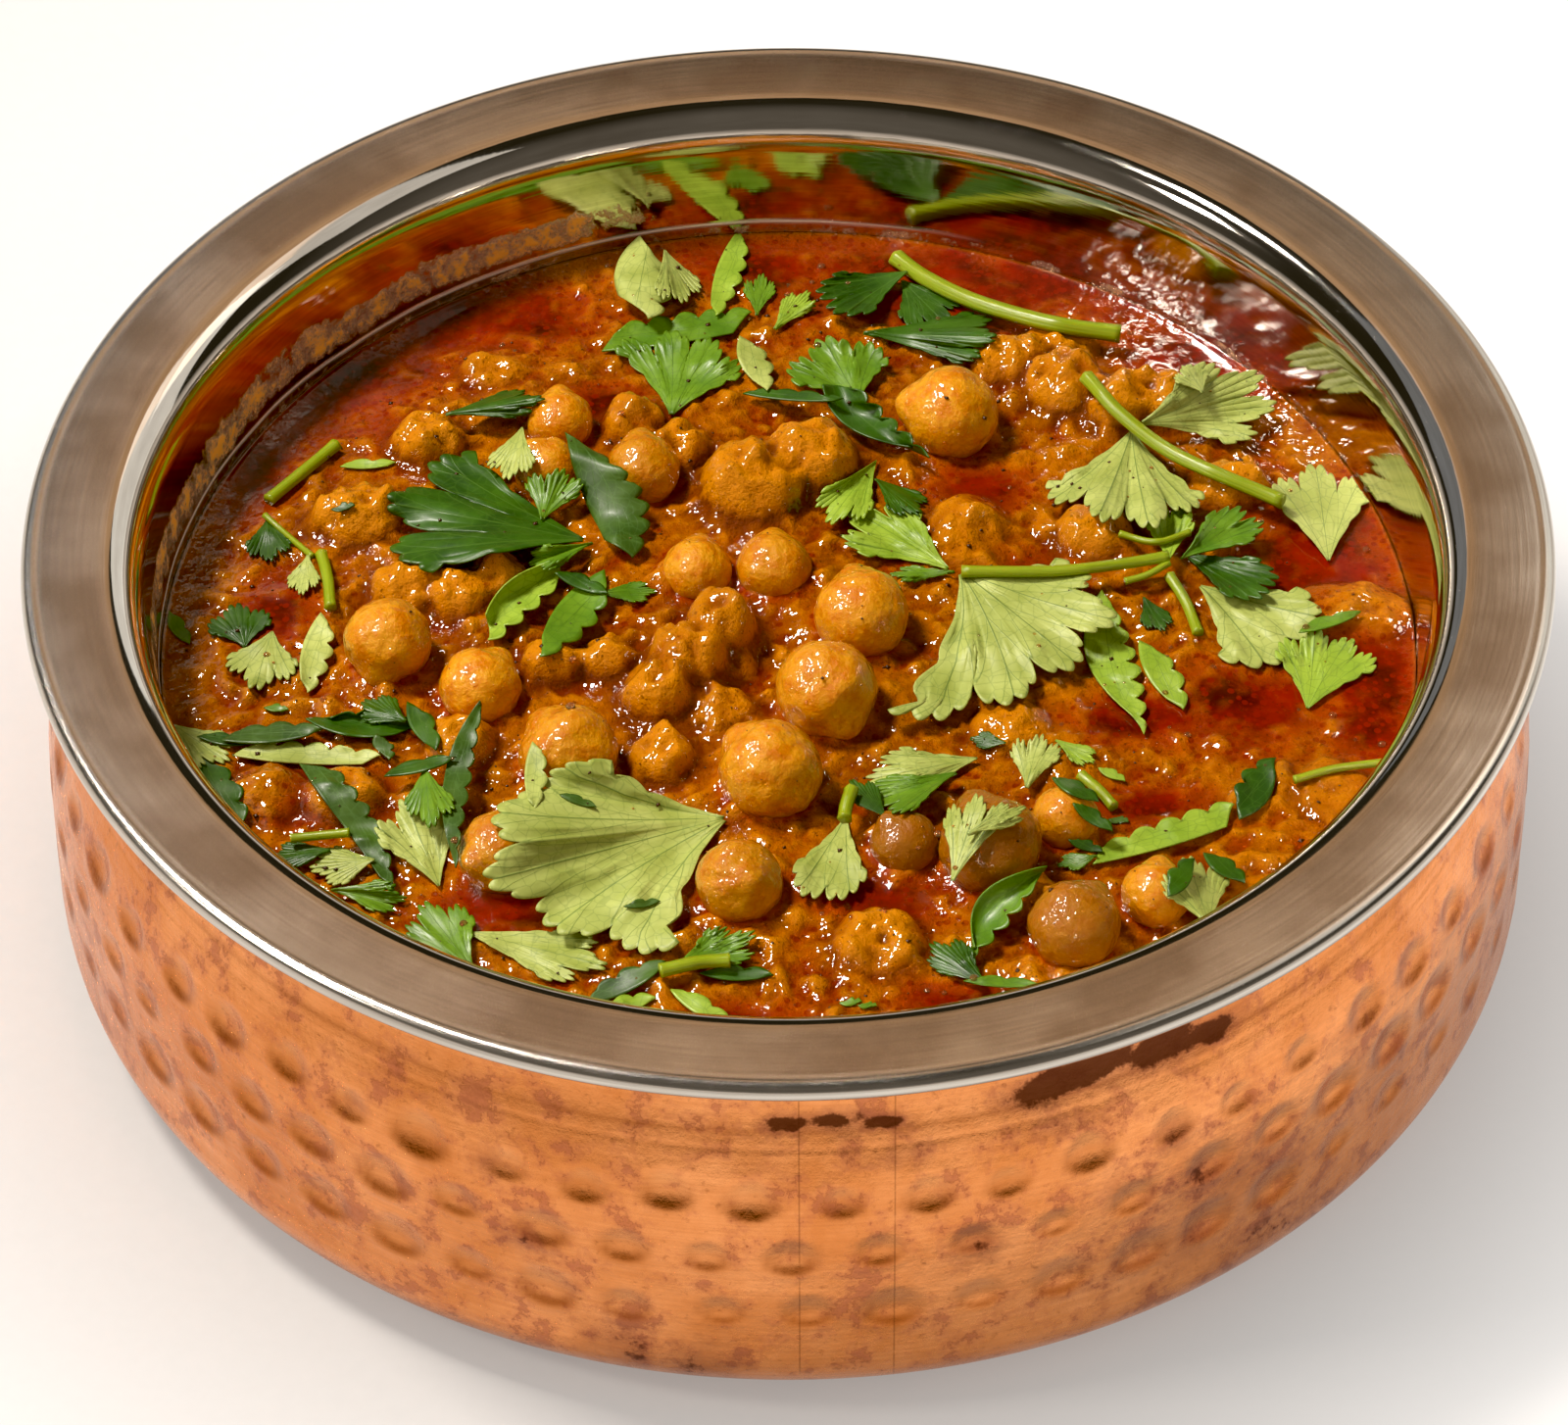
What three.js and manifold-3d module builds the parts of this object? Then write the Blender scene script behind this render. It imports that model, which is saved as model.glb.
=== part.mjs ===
// Chickpea curry in a small double-walled handi, modelled in millimetres with +Z up.
// The origin is the middle of the flat base, and the front of the dish looks along -Y.
// A steel liner with a broad flange and a rolled edge hangs in a hammered copper shell. The gravy fills
// the liner to about two thirds, chickpeas sit in sockets in it, and cut coriander lies on top.
import * as THREE from "three";
import { mergeVertices } from "three/addons/utils/BufferGeometryUtils.js";
import Module from "manifold-3d";

const wasm = await Module();
wasm.setup();

// ---- driving dimensions -------------------------------------------------------------------------
const GAP = 0.35; // clearance between neighbouring solids

const RIM_TOP = 53; // height of the rolled edge
const BEAD_RING = 83.8; // radius of the middle line of the rolled edge
const BEAD = 1.2; // half thickness of the rolled edge
const SHEET = 1; // thickness of the steel
const FLANGE_INNER = 76.8; // where the flat flange starts to turn down
const FLANGE_TOP = 52.7;
const THROAT = 73.5; // radius where the straight wall starts
const THROAT_Z = 47.6;
const WALL_SLOPE = 0.248; // millimetres outward for each millimetre up
const FLOOR_TOP = 5.5; // inside of the liner's bottom
const FLOOR_CORNER = 11;
const LINER_SEGMENTS = 50;

const COPPER_WALL = 1.1;
const COPPER_TOP = 51.1;
const NECK = 79.3; // outer radius of the shell under the flange
const NECK_Z = 42.3; // where the neck meets the crease
const CREASE = 80.5;
const CREASE_Z = 41.2;
const BELLY = 83.8; // widest outer radius
const BELLY_Z = 21; // height of the widest place
const SHOULDER_DROP = 3.3; // how far the belly falls back up to the crease
const CORNER_Z = 9.3; // top of the lower corner
const CORNER = 8.4;
const BASE_RADIUS = 66;
const DENTS_ROUND = 48; // hammer marks in one row
const DENT_ROWS = [17.4, 24.7, 32]; // heights of the rows
const DENT_DEPTH = 0.5;

const GRAVY_LEVEL = 35.4; // at the wall
const GRAVY_HEAP = 2.2; // how much higher it stands in the middle
const GRAVY_REACH = 70;
const GRAVY_CELL = 5.6; // spacing of the surface grid
const BIG_CHICKPEA = 5; // a chickpea of more than this radius is drawn with finer facets
const BEAK_SPREAD = 0.28; // radians
const BEAK_LENGTH = 0.14; // share of the radius
const FLATTENED = 0.96; // height of a chickpea over its width

const LEAF_THICK = 0.5;
const LEAF_STEEPEST = 0.55; // most that a leaf rises from corner to corner, over their distance
const SIGHT_LEVEL = 37.5; // leaf places are read along a sight line at this height
const SIGHT_SLOPE = 1.03; // a thing one millimetre higher lies this much nearer the front
const SIGHT_STEP = 0.1;
const CHICKPEA_COVER = 1.06; // a laid leaf keeps clear of this many radii
const LEAF_MARGIN = 0.6; // and of this much round the box of another leaf
const STALK_SIDES = 6;
const STALK_STEPS = 8;

// ---- what lies where ----------------------------------------------------------------------------
// Chickpeas: middle x, y, z, radius, and the direction of the beak as [x, y, z] where it shows.
const CHICKPEAS = [
  { at: [-44.8, -4.2, 40.1], radius: 4.9, beak: [-0.2, -0.7, -0.5] },
  { at: [4.3, -13.3, 40.9], radius: 5.65, beak: [0.4, -0.8, -0.3] },
  { at: [-2.1, -25.3, 40.4], radius: 5.7, beak: [-0.6, 0.6, 0.3] },
  { at: [-24.3, -21.7, 39.6], radius: 5.5, beak: [-0.6, 0.6, 0.4] },
  { at: [8.2, -0.2, 40.1], radius: 5.3, beak: [-0.2, 0.9, 0.4] },
  { at: [-10.3, 9.1, 38.1], radius: 4.0, beak: [0.1, 0.9, 0.5] },
  { at: [-1.6, 9.1, 38.4], radius: 4.3, beak: [0, 0.9, 0.5] },
  { at: [18.8, 33.6, 39.8], radius: 5.6, beak: [-1, 0.1, 0.25] },
  { at: [-26.2, 33.8, 38.9], radius: 3.8, beak: [0, 0.8, 0.6] },
  { at: [-27.6, 25.4, 39.0], radius: 3.8, beak: [-0.5, 0.2, 0.8] },
  { at: [-16.6, 25.0, 39.2], radius: 4.3, beak: [-0.1, 0.8, 0.6] },
  { at: [-34.2, -10.6, 39.0], radius: 4.6, beak: [0.5, 0.7, 0.4] },
  { at: [-5.5, -41.4, 39.2], radius: 4.7, beak: [0.3, -0.6, 0.7] },
  { at: [-31.3, -36.8, 39.2], radius: 4.8, beak: [-0.6, -0.5, 0.3] },
  { at: [21.8, -36.4, 39.7], radius: 5.7, beak: [-0.35, 0.85, 0.5] },
  { at: [12.4, -34.6, 38.1], radius: 3.8, beak: [-0.5, 0.3, 0.8] },
  { at: [30.1, -30.9, 38.2], radius: 3.7, beak: [0.3, 0.7, 0.5] },
  { at: [30.6, -48.2, 39.2], radius: 5.0, beak: [0.55, 0.75, 0.45] },
  { at: [39.6, -42.9, 38.6], radius: 3.8, beak: [0.1, 0.8, 0.5] },
];

// Lumps of cooked onion, tomato and sunken chickpeas that are one with the gravy:
// middle x, y, z, then half width in x, in y and half height.
const LUMPS = [
  [-4, 22.8, 38.4, 6.2, 5.8, 4.6],
  [2.8, 26.9, 38.2, 5.4, 5.2, 4.6],
  [-14.4, -11, 37.9, 4.4, 4.4, 3.7],
  [-11.2, -6.4, 39, 4.4, 4.4, 4],
  [-7.6, -1.4, 39, 4, 4.6, 4],
  [-43, 7.3, 37.1, 4.3, 4, 3.3],
  [-37, 5.8, 37.1, 3.8, 3.8, 3.1],
  [-33, 8.4, 37.1, 3.6, 3.6, 3.3],
  [26, 45.6, 36.6, 4.8, 4.2, 3.3],
  [32.6, 40.4, 37.6, 5, 4.6, 3.8],
  [38.6, 37.4, 37.6, 4.4, 4.2, 3.6],
  [43.4, 38.2, 37, 4.2, 4, 3.2],
  [31.4, 48.4, 36.2, 4.4, 3.6, 2.6],
  [-49, 19.4, 37, 5, 4.8, 3.6],
  [-41.4, 32.4, 36.8, 4.4, 3.8, 3.2],
  [-34, 45.5, 35.6, 4.2, 3.4, 2.2],
  [51, 24, 36.4, 4.8, 3.8, 2.8],
  [63, 3.4, 35.4, 7.4, 5, 2.6],
  [35, 15.4, 37, 4.4, 4.4, 3.2],
  [20.4, 16.6, 36.8, 4.4, 5.4, 2.8],
  [9.5, -48.4, 36.2, 5, 4.8, 3.2],
  [27, -42.2, 37, 3, 3, 2.4],
  [-14, -20.6, 37.8, 3.6, 3.6, 2.9],
  [-12.4, 30.2, 37.3, 3.6, 3.6, 2.8],
  [-17.8, 34.2, 37.6, 3.5, 4, 3.4],
  [-20.2, -5, 37.8, 3.4, 3.2, 2.8],
  [-26.4, -5.6, 37.6, 3.6, 3.2, 2.8],
  [-36.4, -18, 36.8, 4, 4, 2.8],
  [24.4, -16, 36.4, 4.4, 4.2, 2.6],
  [27.4, -53.6, 35.4, 4.8, 3, 2.2],
  [60, -25, 35, 4.4, 5, 1.8],
  [-49, -25.4, 36.2, 4.8, 4.2, 2.6],
  [-57.4, -24.4, 35.8, 4.6, 4.2, 2.2],
  [-8, -13, 37, 4, 3.4, 2.2],
];

// Cut coriander. A fan runs from the stalk end "at" to the tip of its middle lobe "to", spread is half
// its angle in degrees and sides are the lengths of its outer lobes over the middle one. A blade runs
// from end to end with a width, a sideways bow, and the share of the width that is left at each end.
// All are read on the sight level; lift and curl are heights in millimetres; lower ones come first.
const LEAVES = [
  { blade: 4.5, at: [-65, -20], to: [-61, -29.3], ends: [0.5, 0.4] },
  { blade: 3.2, at: [-60.5, -18.8], to: [-46, -20.4], ends: [0.7, 0.6] },
  { blade: 4.6, at: [-52.2, -13.8], to: [-41.8, -15.6], ends: [0.2, 0.5], curl: 0.8 },
  { blade: 3.5, at: [-52, -21.5], to: [-43.8, -39.5], ends: [0.9, 0.2], bow: 0.8, lift: 0.5 },
  { fan: 26, at: [-38, -40.5], to: [-42, -27.4], lobes: 3, notch: 0.2 },
  { fan: 19, at: [-35.4, -47], to: [-20.4, -52.2], lobes: 3, notch: 0.15 },
  { blade: 2.8, at: [-34, -12], to: [-36.2, -36.4], ends: [0.15, 0.2], bow: -1.4, lift: 0.6 },
  { fan: 50, at: [-6.6, -29.9], to: [-30.6, -38.4], lobes: 5, notch: 0.16, sides: [0.64, 0.78], curl: 0.4 },
  { fan: 26, at: [-12.6, -52.6], to: [-4.4, -47.8], lobes: 3, notch: 0.2, curl: 0.5 },
  { fan: 24, at: [6.3, -29.6], to: [3.4, -42.6], lobes: 2, notch: 0.12, curl: 0.5 },
  { fan: 26, at: [21, -20.8], to: [9.4, -24], lobes: 3, notch: 0.15, curl: 0.6 },
  { fan: 17, at: [17.4, -39.9], to: [20.4, -27.2], lobes: 3, notch: 0.25, sides: [0.95, 0.7] },
  { blade: 4.6, at: [27.2, -38.6], to: [19.2, -51], ends: [0.1, 0.1], bow: -1.6, curl: 0.8 },
  { blade: 3.7, at: [33.5, -36], to: [48.2, -29.8], ends: [0.6, 0.9] },
  { fan: 36, at: [46.2, 6.8], to: [57, -2.8], lobes: 2, notch: 0.1, sides: [0.85, 0.85] },
  { fan: 33, at: [57.6, -13.6], to: [61, -1.4], lobes: 4, notch: 0.18, sides: [0.8, 0.75] },
  { fan: 27, at: [61.4, 10.4], to: [60.8, 26.2], lobes: 3, notch: 0.2, sides: [0.8, 0.75] },
  { blade: 5.2, at: [36, 4.6], to: [38.8, -15.8], ends: [0.2, 0.15], bow: -1.4 },
  { fan: 25, at: [44.6, 12.2], to: [54.4, 6.2], lobes: 2, notch: 0.12, curl: 1 },
  { fan: 24, at: [43, 10.6], to: [43.6, 20.2], lobes: 2, notch: 0.18, lift: 0.8, curl: 1.6 },
  { fan: 22, at: [44.2, 11], to: [53, 18.8], lobes: 2, notch: 0.2, lift: 0.8, curl: 1.2 },
  { fan: 55, at: [19.3, 9.4], to: [31.6, -5.4], lobes: 5, notch: 0.2, sides: [1.3, 0.6], lift: 0.8 },
  { fan: 27, at: [18.4, 9.6], to: [7.6, 19.4], lobes: 3, notch: 0.2, curl: 1 },
  { fan: 37, at: [40.6, 34], to: [55.2, 39.6], lobes: 4, notch: 0.2, lift: 0.6, curl: 1 },
  { fan: 38, at: [39.8, 33.2], to: [38, 17.8], lobes: 4, notch: 0.2, sides: [0.85, 0.9], lift: 0.4 },
  { fan: 34, at: [13.6, 60], to: [18.6, 52], lobes: 3, notch: 0.2 },
  { fan: 28, at: [14.6, 61.4], to: [4.2, 55.4], lobes: 2, notch: 0.12, curl: 1.8, lift: 0.6 },
  { fan: 20, at: [8.6, 50.4], to: [23.6, 49], lobes: 3, notch: 0.14, sides: [0.85, 0.9] },
  { fan: 44, at: [8.4, 38], to: [4.4, 48.8], lobes: 3, notch: 0.16, lift: 0.4, curl: 0.8 },
  { blade: 4.6, at: [6, 40.8], to: [15.3, 29.3], ends: [0.6, 0.15], bow: -1.4, lift: 0.8, curl: 1 },
  { blade: 4.8, at: [-20.6, 49.6], to: [-5.2, 52.6], ends: [0.85, 0.8] },
  { fan: 37, at: [-13.4, 35.8], to: [-11, 49.6], lobes: 4, notch: 0.18, sides: [0.75, 0.95] },
  { blade: 6.4, at: [-16.4, 66], to: [-17.6, 55], ends: [0.35, 0.7], curl: -1.2, lift: 1.6 },
  { fan: 30, at: [-22.6, 14.6], to: [-44.4, 21], lobes: 3, notch: 0.3, sides: [0.86, 0.84], lift: 0.6 },
  { blade: 6.2, at: [-24, 31.4], to: [-19, 13.4], ends: [0.3, 0.4], bow: 1.4, curl: -0.8, lift: 0.4 },
  { blade: 5, at: [-25.8, 9.8], to: [-33.6, 0.4], ends: [0.5, 0.7], bow: -0.8, curl: 1.2 },
];

// Two thick stalks, as places along the middle line on the sight level, with their diameters.
const STALKS = [
  { thick: 1.9, along: [[13, 64], [16.6, 60], [22.4, 55.6], [31, 51.6], [39, 49.8]] },
  { thick: 1.6, along: [[34.6, 42], [38.6, 35.2], [45, 28.2], [56.4, 20.6]] },
];

// ---- materials ----------------------------------------------------------------------------------
const finish = (color, roughness, metalness = 0) =>
  new THREE.MeshStandardMaterial({ color, roughness, metalness, side: THREE.DoubleSide });
const STEEL = finish(0x9a958c, 0.22, 1);
const COPPER = finish(0xc98050, 0.4, 1);
const GRAVY = finish(0xa8521a, 0.3);
const CHICKPEA = finish(0xc78a3a, 0.35);
const LEAF = finish(0x5c8f36, 0.5);
const STALK = finish(0x93b02e, 0.45);

// ---- small tools --------------------------------------------------------------------------------
const degrees = THREE.MathUtils.degToRad;
const two = (n) => String(n).padStart(2, "0");

// Points on an arc of an ellipse in the profile plane, from angle a to angle b in degrees.
function arc(middleR, middleZ, halfR, halfZ, a, b, steps) {
  const points = [];
  for (let i = 0; i <= steps; i++) {
    const turn = degrees(a + ((b - a) * i) / steps);
    points.push(new THREE.Vector2(middleR + halfR * Math.cos(turn), middleZ + halfZ * Math.sin(turn)));
  }
  return points;
}

// A mesh geometry with shared vertices, positions only, and its faces pointing out.
function tidy(geometry) {
  geometry.deleteAttribute("normal");
  geometry.deleteAttribute("uv");
  const merged = mergeVertices(geometry, 1e-4);
  const place = merged.attributes.position;
  const index = merged.index.array;
  const kept = [];
  let volume = 0;
  const corners = [new THREE.Vector3(), new THREE.Vector3(), new THREE.Vector3()];
  for (let i = 0; i < index.length; i += 3) {
    const [a, b, c] = [index[i], index[i + 1], index[i + 2]];
    if (a === b || b === c || c === a) continue;
    corners.forEach((corner, n) => corner.fromBufferAttribute(place, index[i + n]));
    volume += corners[0].dot(corners[1].clone().cross(corners[2]));
    kept.push(a, b, c);
  }
  if (volume < 0) kept.reverse();
  merged.setIndex(kept);
  return merged;
}

// A closed profile turned round the vertical axis.
function turned(profile, segments) {
  const geometry = new THREE.LatheGeometry(profile, segments);
  geometry.rotateX(Math.PI / 2);
  return tidy(geometry);
}

function solid(geometry) {
  return new wasm.Manifold(
    new wasm.Mesh({
      numProp: 3,
      vertProperties: new Float32Array(geometry.attributes.position.array),
      triVerts: new Uint32Array(geometry.index.array),
    }),
  );
}

function geometryOf(cut) {
  const { vertProperties, triVerts, numProp } = cut.getMesh();
  const geometry = new THREE.BufferGeometry();
  const flat = new Float32Array((vertProperties.length / numProp) * 3);
  for (let i = 0; i < flat.length; i++) flat[i] = vertProperties[Math.floor(i / 3) * numProp + (i % 3)];
  geometry.setAttribute("position", new THREE.BufferAttribute(flat, 3));
  geometry.setIndex(Array.from(triVerts));
  return geometry;
}

// ---- steel liner --------------------------------------------------------------------------------
const wallRadius = (z) => THROAT + (z - THROAT_Z) * WALL_SLOPE;
const wallTilt = THREE.MathUtils.radToDeg(Math.atan(WALL_SLOPE));

// Floor, rounded corner and the foot of the straight wall, drawn a distance inward of the steel's inside.
function bowlInside(inward) {
  const cornerZ = FLOOR_TOP + FLOOR_CORNER;
  const tangentZ = cornerZ - FLOOR_CORNER * Math.sin(degrees(wallTilt));
  const cornerR = wallRadius(tangentZ) - FLOOR_CORNER * Math.cos(degrees(wallTilt));
  const radius = FLOOR_CORNER - inward;
  return arc(cornerR, cornerZ, radius, radius, -90, -wallTilt, 3);
}

function linerGeometry() {
  const inside = bowlInside(0);
  const outside = bowlInside(-SHEET).reverse();
  const turnR = FLANGE_INNER - THROAT;
  const turnZ = FLANGE_TOP - THROAT_Z;
  const beadZ = RIM_TOP - BEAD;
  const profile = [
    new THREE.Vector2(0, FLOOR_TOP),
    ...inside,
    ...arc(FLANGE_INNER, THROAT_Z, turnR, turnZ, 180, 90, 3),
    ...arc(BEAD_RING, beadZ, BEAD, BEAD, 105, -165, 6),
    ...arc(FLANGE_INNER, THROAT_Z, turnR - SHEET, turnZ - SHEET, 90, 180, 2),
    ...outside,
    new THREE.Vector2(0, FLOOR_TOP - SHEET),
  ];
  return turned(profile, LINER_SEGMENTS);
}

// ---- hammered copper shell ----------------------------------------------------------------------
// Outer radius between the lower corner and the crease: a bulge that falls back faster near the top.
function bellyRadius(z) {
  const up = Math.max(0, z - BELLY_Z) / (CREASE_Z - BELLY_Z);
  return BELLY - SHOULDER_DROP * up ** 2.6;
}

function shellOutside() {
  const between = (DENT_ROWS[1] - DENT_ROWS[0]) / 2;
  const levels = [DENT_ROWS[0] - between];
  for (const row of DENT_ROWS) levels.push(row, row + between);
  return [
    new THREE.Vector2(0, 0),
    new THREE.Vector2(BASE_RADIUS, 0),
    ...arc(BELLY - CORNER, CORNER_Z, CORNER, CORNER, -78, 0, 2),
    ...levels.map((z) => new THREE.Vector2(bellyRadius(z), z)),
    new THREE.Vector2(CREASE, CREASE_Z),
    new THREE.Vector2(NECK, NECK_Z),
    new THREE.Vector2(NECK, COPPER_TOP),
    new THREE.Vector2(0, COPPER_TOP),
  ];
}

function shellInside() {
  const corner = CORNER - COPPER_WALL;
  return [
    new THREE.Vector2(0, COPPER_WALL),
    new THREE.Vector2(BASE_RADIUS, COPPER_WALL),
    ...arc(BELLY - CORNER, CORNER_Z, corner, corner, -78, 0, 2),
    new THREE.Vector2(bellyRadius(30) - COPPER_WALL - DENT_DEPTH, 30),
    new THREE.Vector2(CREASE - COPPER_WALL, CREASE_Z - 0.4),
    new THREE.Vector2(NECK - COPPER_WALL, NECK_Z - 0.4),
    new THREE.Vector2(NECK - COPPER_WALL, COPPER_TOP + 1),
    new THREE.Vector2(0, COPPER_TOP + 1),
  ];
}

// Every second corner of the ring in a row is pushed in, and the rows are staggered by half a pitch.
function hammer(geometry) {
  const place = geometry.attributes.position;
  const pitch = (2 * Math.PI) / DENTS_ROUND;
  for (let i = 0; i < place.count; i++) {
    const row = DENT_ROWS.findIndex((z) => Math.abs(place.getZ(i) - z) < 0.01);
    if (row < 0) continue;
    const turn = Math.atan2(place.getY(i), place.getX(i)) / pitch + row / 2;
    if (Math.abs(turn - Math.round(turn)) > 0.1) continue;
    const radius = Math.hypot(place.getX(i), place.getY(i));
    const push = (radius - DENT_DEPTH) / radius;
    place.setXY(i, place.getX(i) * push, place.getY(i) * push);
  }
  return geometry;
}

function shellGeometry() {
  const outside = hammer(turned(shellOutside(), DENTS_ROUND * 2));
  const inside = turned(shellInside(), DENTS_ROUND);
  return geometryOf(solid(outside).subtract(solid(inside)));
}

// ---- gravy --------------------------------------------------------------------------------------
// Height of the gravy with its lumps: a low heap, slow swells, and the upper half of each lump.
function gravyHeight(x, y) {
  const out = Math.hypot(x, y) / GRAVY_REACH;
  const swell = 0.3 * Math.sin(0.33 * x + 0.12 * y) + 0.3 * Math.sin(0.29 * y - 0.21 * x + 1);
  let height = GRAVY_LEVEL + (GRAVY_HEAP + swell) * Math.max(0, 1 - out ** 3);
  for (const [lumpX, lumpY, lumpZ, halfX, halfY, halfZ] of LUMPS) {
    const away = ((x - lumpX) / halfX) ** 2 + ((y - lumpY) / halfY) ** 2;
    if (away < 1) height = Math.max(height, lumpZ + halfZ * Math.sqrt(1 - away));
  }
  return height;
}

const GRAVY_COUNT = Math.ceil((GRAVY_REACH + 4) / GRAVY_CELL);
const cornerHeights = new Map();
function cornerHeight(i, j) {
  const key = i * 1000 + j;
  if (!cornerHeights.has(key)) cornerHeights.set(key, gravyHeight(i * GRAVY_CELL, j * GRAVY_CELL));
  return cornerHeights.get(key);
}

// Height of the faceted gravy: each cell is split along its rising diagonal.
function gravyFacet(x, y) {
  const [i, j] = [Math.floor(x / GRAVY_CELL), Math.floor(y / GRAVY_CELL)];
  const [u, v] = [x / GRAVY_CELL - i, y / GRAVY_CELL - j];
  const low = cornerHeight(i, j);
  const high = cornerHeight(i + 1, j + 1);
  const side = u > v ? cornerHeight(i + 1, j) : cornerHeight(i, j + 1);
  return u > v
    ? low + (side - low) * (u - v) + (high - low) * v
    : low + (side - low) * (v - u) + (high - low) * u;
}

// A block whose top is the gravy grid.
function gravyBlock() {
  const side = 2 * GRAVY_COUNT + 1;
  const places = [];
  const faces = [];
  for (const isTop of [false, true])
    for (let j = -GRAVY_COUNT; j <= GRAVY_COUNT; j++)
      for (let i = -GRAVY_COUNT; i <= GRAVY_COUNT; i++)
        places.push(i * GRAVY_CELL, j * GRAVY_CELL, isTop ? cornerHeight(i, j) : 0);
  const at = (i, j, layer) => layer * side * side + j * side + i;
  for (let j = 0; j < side - 1; j++)
    for (let i = 0; i < side - 1; i++) {
      faces.push(at(i, j, 1), at(i + 1, j, 1), at(i + 1, j + 1, 1));
      faces.push(at(i, j, 1), at(i + 1, j + 1, 1), at(i, j + 1, 1));
      faces.push(at(i, j, 0), at(i + 1, j + 1, 0), at(i + 1, j, 0));
      faces.push(at(i, j, 0), at(i, j + 1, 0), at(i + 1, j + 1, 0));
    }
  const wall = (a, b) => {
    faces.push(at(...a, 0), at(...b, 0), at(...b, 1), at(...a, 0), at(...b, 1), at(...a, 1));
  };
  for (let n = 0; n < side - 1; n++) {
    wall([n, 0], [n + 1, 0]);
    wall([side - 1, n], [side - 1, n + 1]);
    wall([n + 1, side - 1], [n, side - 1]);
    wall([0, n + 1], [0, n]);
  }
  const geometry = new THREE.BufferGeometry();
  geometry.setAttribute("position", new THREE.Float32BufferAttribute(places, 3));
  geometry.setIndex(faces);
  return geometry;
}

// ---- chickpeas ----------------------------------------------------------------------------------
// A ball a little flatter than round, with a blunt beak on one side.
function chickpeaGeometry({ at, radius, beak }, grow) {
  const geometry = new THREE.IcosahedronGeometry(1, radius > BIG_CHICKPEA ? 2 : 1);
  const point = new THREE.Vector3();
  const tip = new THREE.Vector3(...beak).normalize();
  const place = geometry.attributes.position;
  for (let i = 0; i < place.count; i++) {
    point.fromBufferAttribute(place, i).normalize();
    const away = point.angleTo(tip) / BEAK_SPREAD;
    point.multiplyScalar((radius + grow) * (1 + BEAK_LENGTH * Math.exp(-away * away)));
    place.setXYZ(i, at[0] + point.x, at[1] + point.y, at[2] + point.z * FLATTENED);
  }
  return tidy(geometry);
}

function gravyGeometry() {
  const inside = bowlInside(GAP);
  const wallTop = GRAVY_LEVEL + 12;
  const fill = turned(
    [
      new THREE.Vector2(0, FLOOR_TOP + GAP),
      ...inside,
      new THREE.Vector2(wallRadius(wallTop) - GAP, wallTop),
      new THREE.Vector2(0, wallTop),
    ],
    LINER_SEGMENTS,
  );
  let gravy = solid(fill).intersect(solid(gravyBlock()));
  for (const chickpea of CHICKPEAS) gravy = gravy.subtract(solid(chickpeaGeometry(chickpea, GAP)));
  const whole = gravy.decompose().sort((a, b) => b.volume() - a.volume())[0];
  return geometryOf(whole);
}

// ---- what a leaf can lie on ---------------------------------------------------------------------
const FACE_MARGIN = 0.05; // share by which a laid face reaches past its edges
const laid = []; // upper faces of the leaves and stalks that are already in place

function heightOnFace([a, b, c], x, y) {
  const area = (b[0] - a[0]) * (c[1] - a[1]) - (c[0] - a[0]) * (b[1] - a[1]);
  if (Math.abs(area) < 1e-9) return -Infinity;
  const v = ((x - a[0]) * (c[1] - a[1]) - (c[0] - a[0]) * (y - a[1])) / area;
  const w = ((b[0] - a[0]) * (y - a[1]) - (x - a[0]) * (b[1] - a[1])) / area;
  if (v < -FACE_MARGIN || w < -FACE_MARGIN || v + w > 1 + FACE_MARGIN) return -Infinity;
  return a[2] + v * (b[2] - a[2]) + w * (c[2] - a[2]);
}

// The highest thing at a place: gravy, chickpeas and whatever was laid before.
function coverHeight(x, y) {
  let height = gravyFacet(x, y);
  for (const { at, radius } of CHICKPEAS) {
    const away = (x - at[0]) ** 2 + (y - at[1]) ** 2;
    const reach = radius * CHICKPEA_COVER;
    if (away < reach * reach) height = Math.max(height, at[2] + Math.sqrt(reach * reach - away));
  }
  for (const piece of laid) {
    if (x < piece.low[0] || x > piece.high[0] || y < piece.low[1] || y > piece.high[1]) continue;
    for (const face of piece.faces) height = Math.max(height, heightOnFace(face, x, y));
  }
  return height;
}

function remember(faces, margin) {
  const all = faces.flat();
  const low = [0, 1].map((n) => Math.min(...all.map((p) => p[n])) - margin);
  const high = [0, 1].map((n) => Math.max(...all.map((p) => p[n])) + margin);
  laid.push({ faces, low, high });
}

// A place read on the sight level lies nearer the front if it is higher, and stays inside the bowl.
function placeOnSight(x, y, height) {
  const nearer = y - SIGHT_SLOPE * (height - SIGHT_LEVEL);
  const out = Math.hypot(x, nearer);
  const most = GRAVY_REACH - 1;
  return out > most ? [(x * most) / out, (nearer * most) / out, height] : [x, nearer, height];
}

// Height where the sight line through a place first meets something.
function sightHeight(x, y) {
  let height = RIM_TOP - 2;
  while (coverHeight(...placeOnSight(x, y, height)) < height) height -= SIGHT_STEP;
  return height;
}

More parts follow.
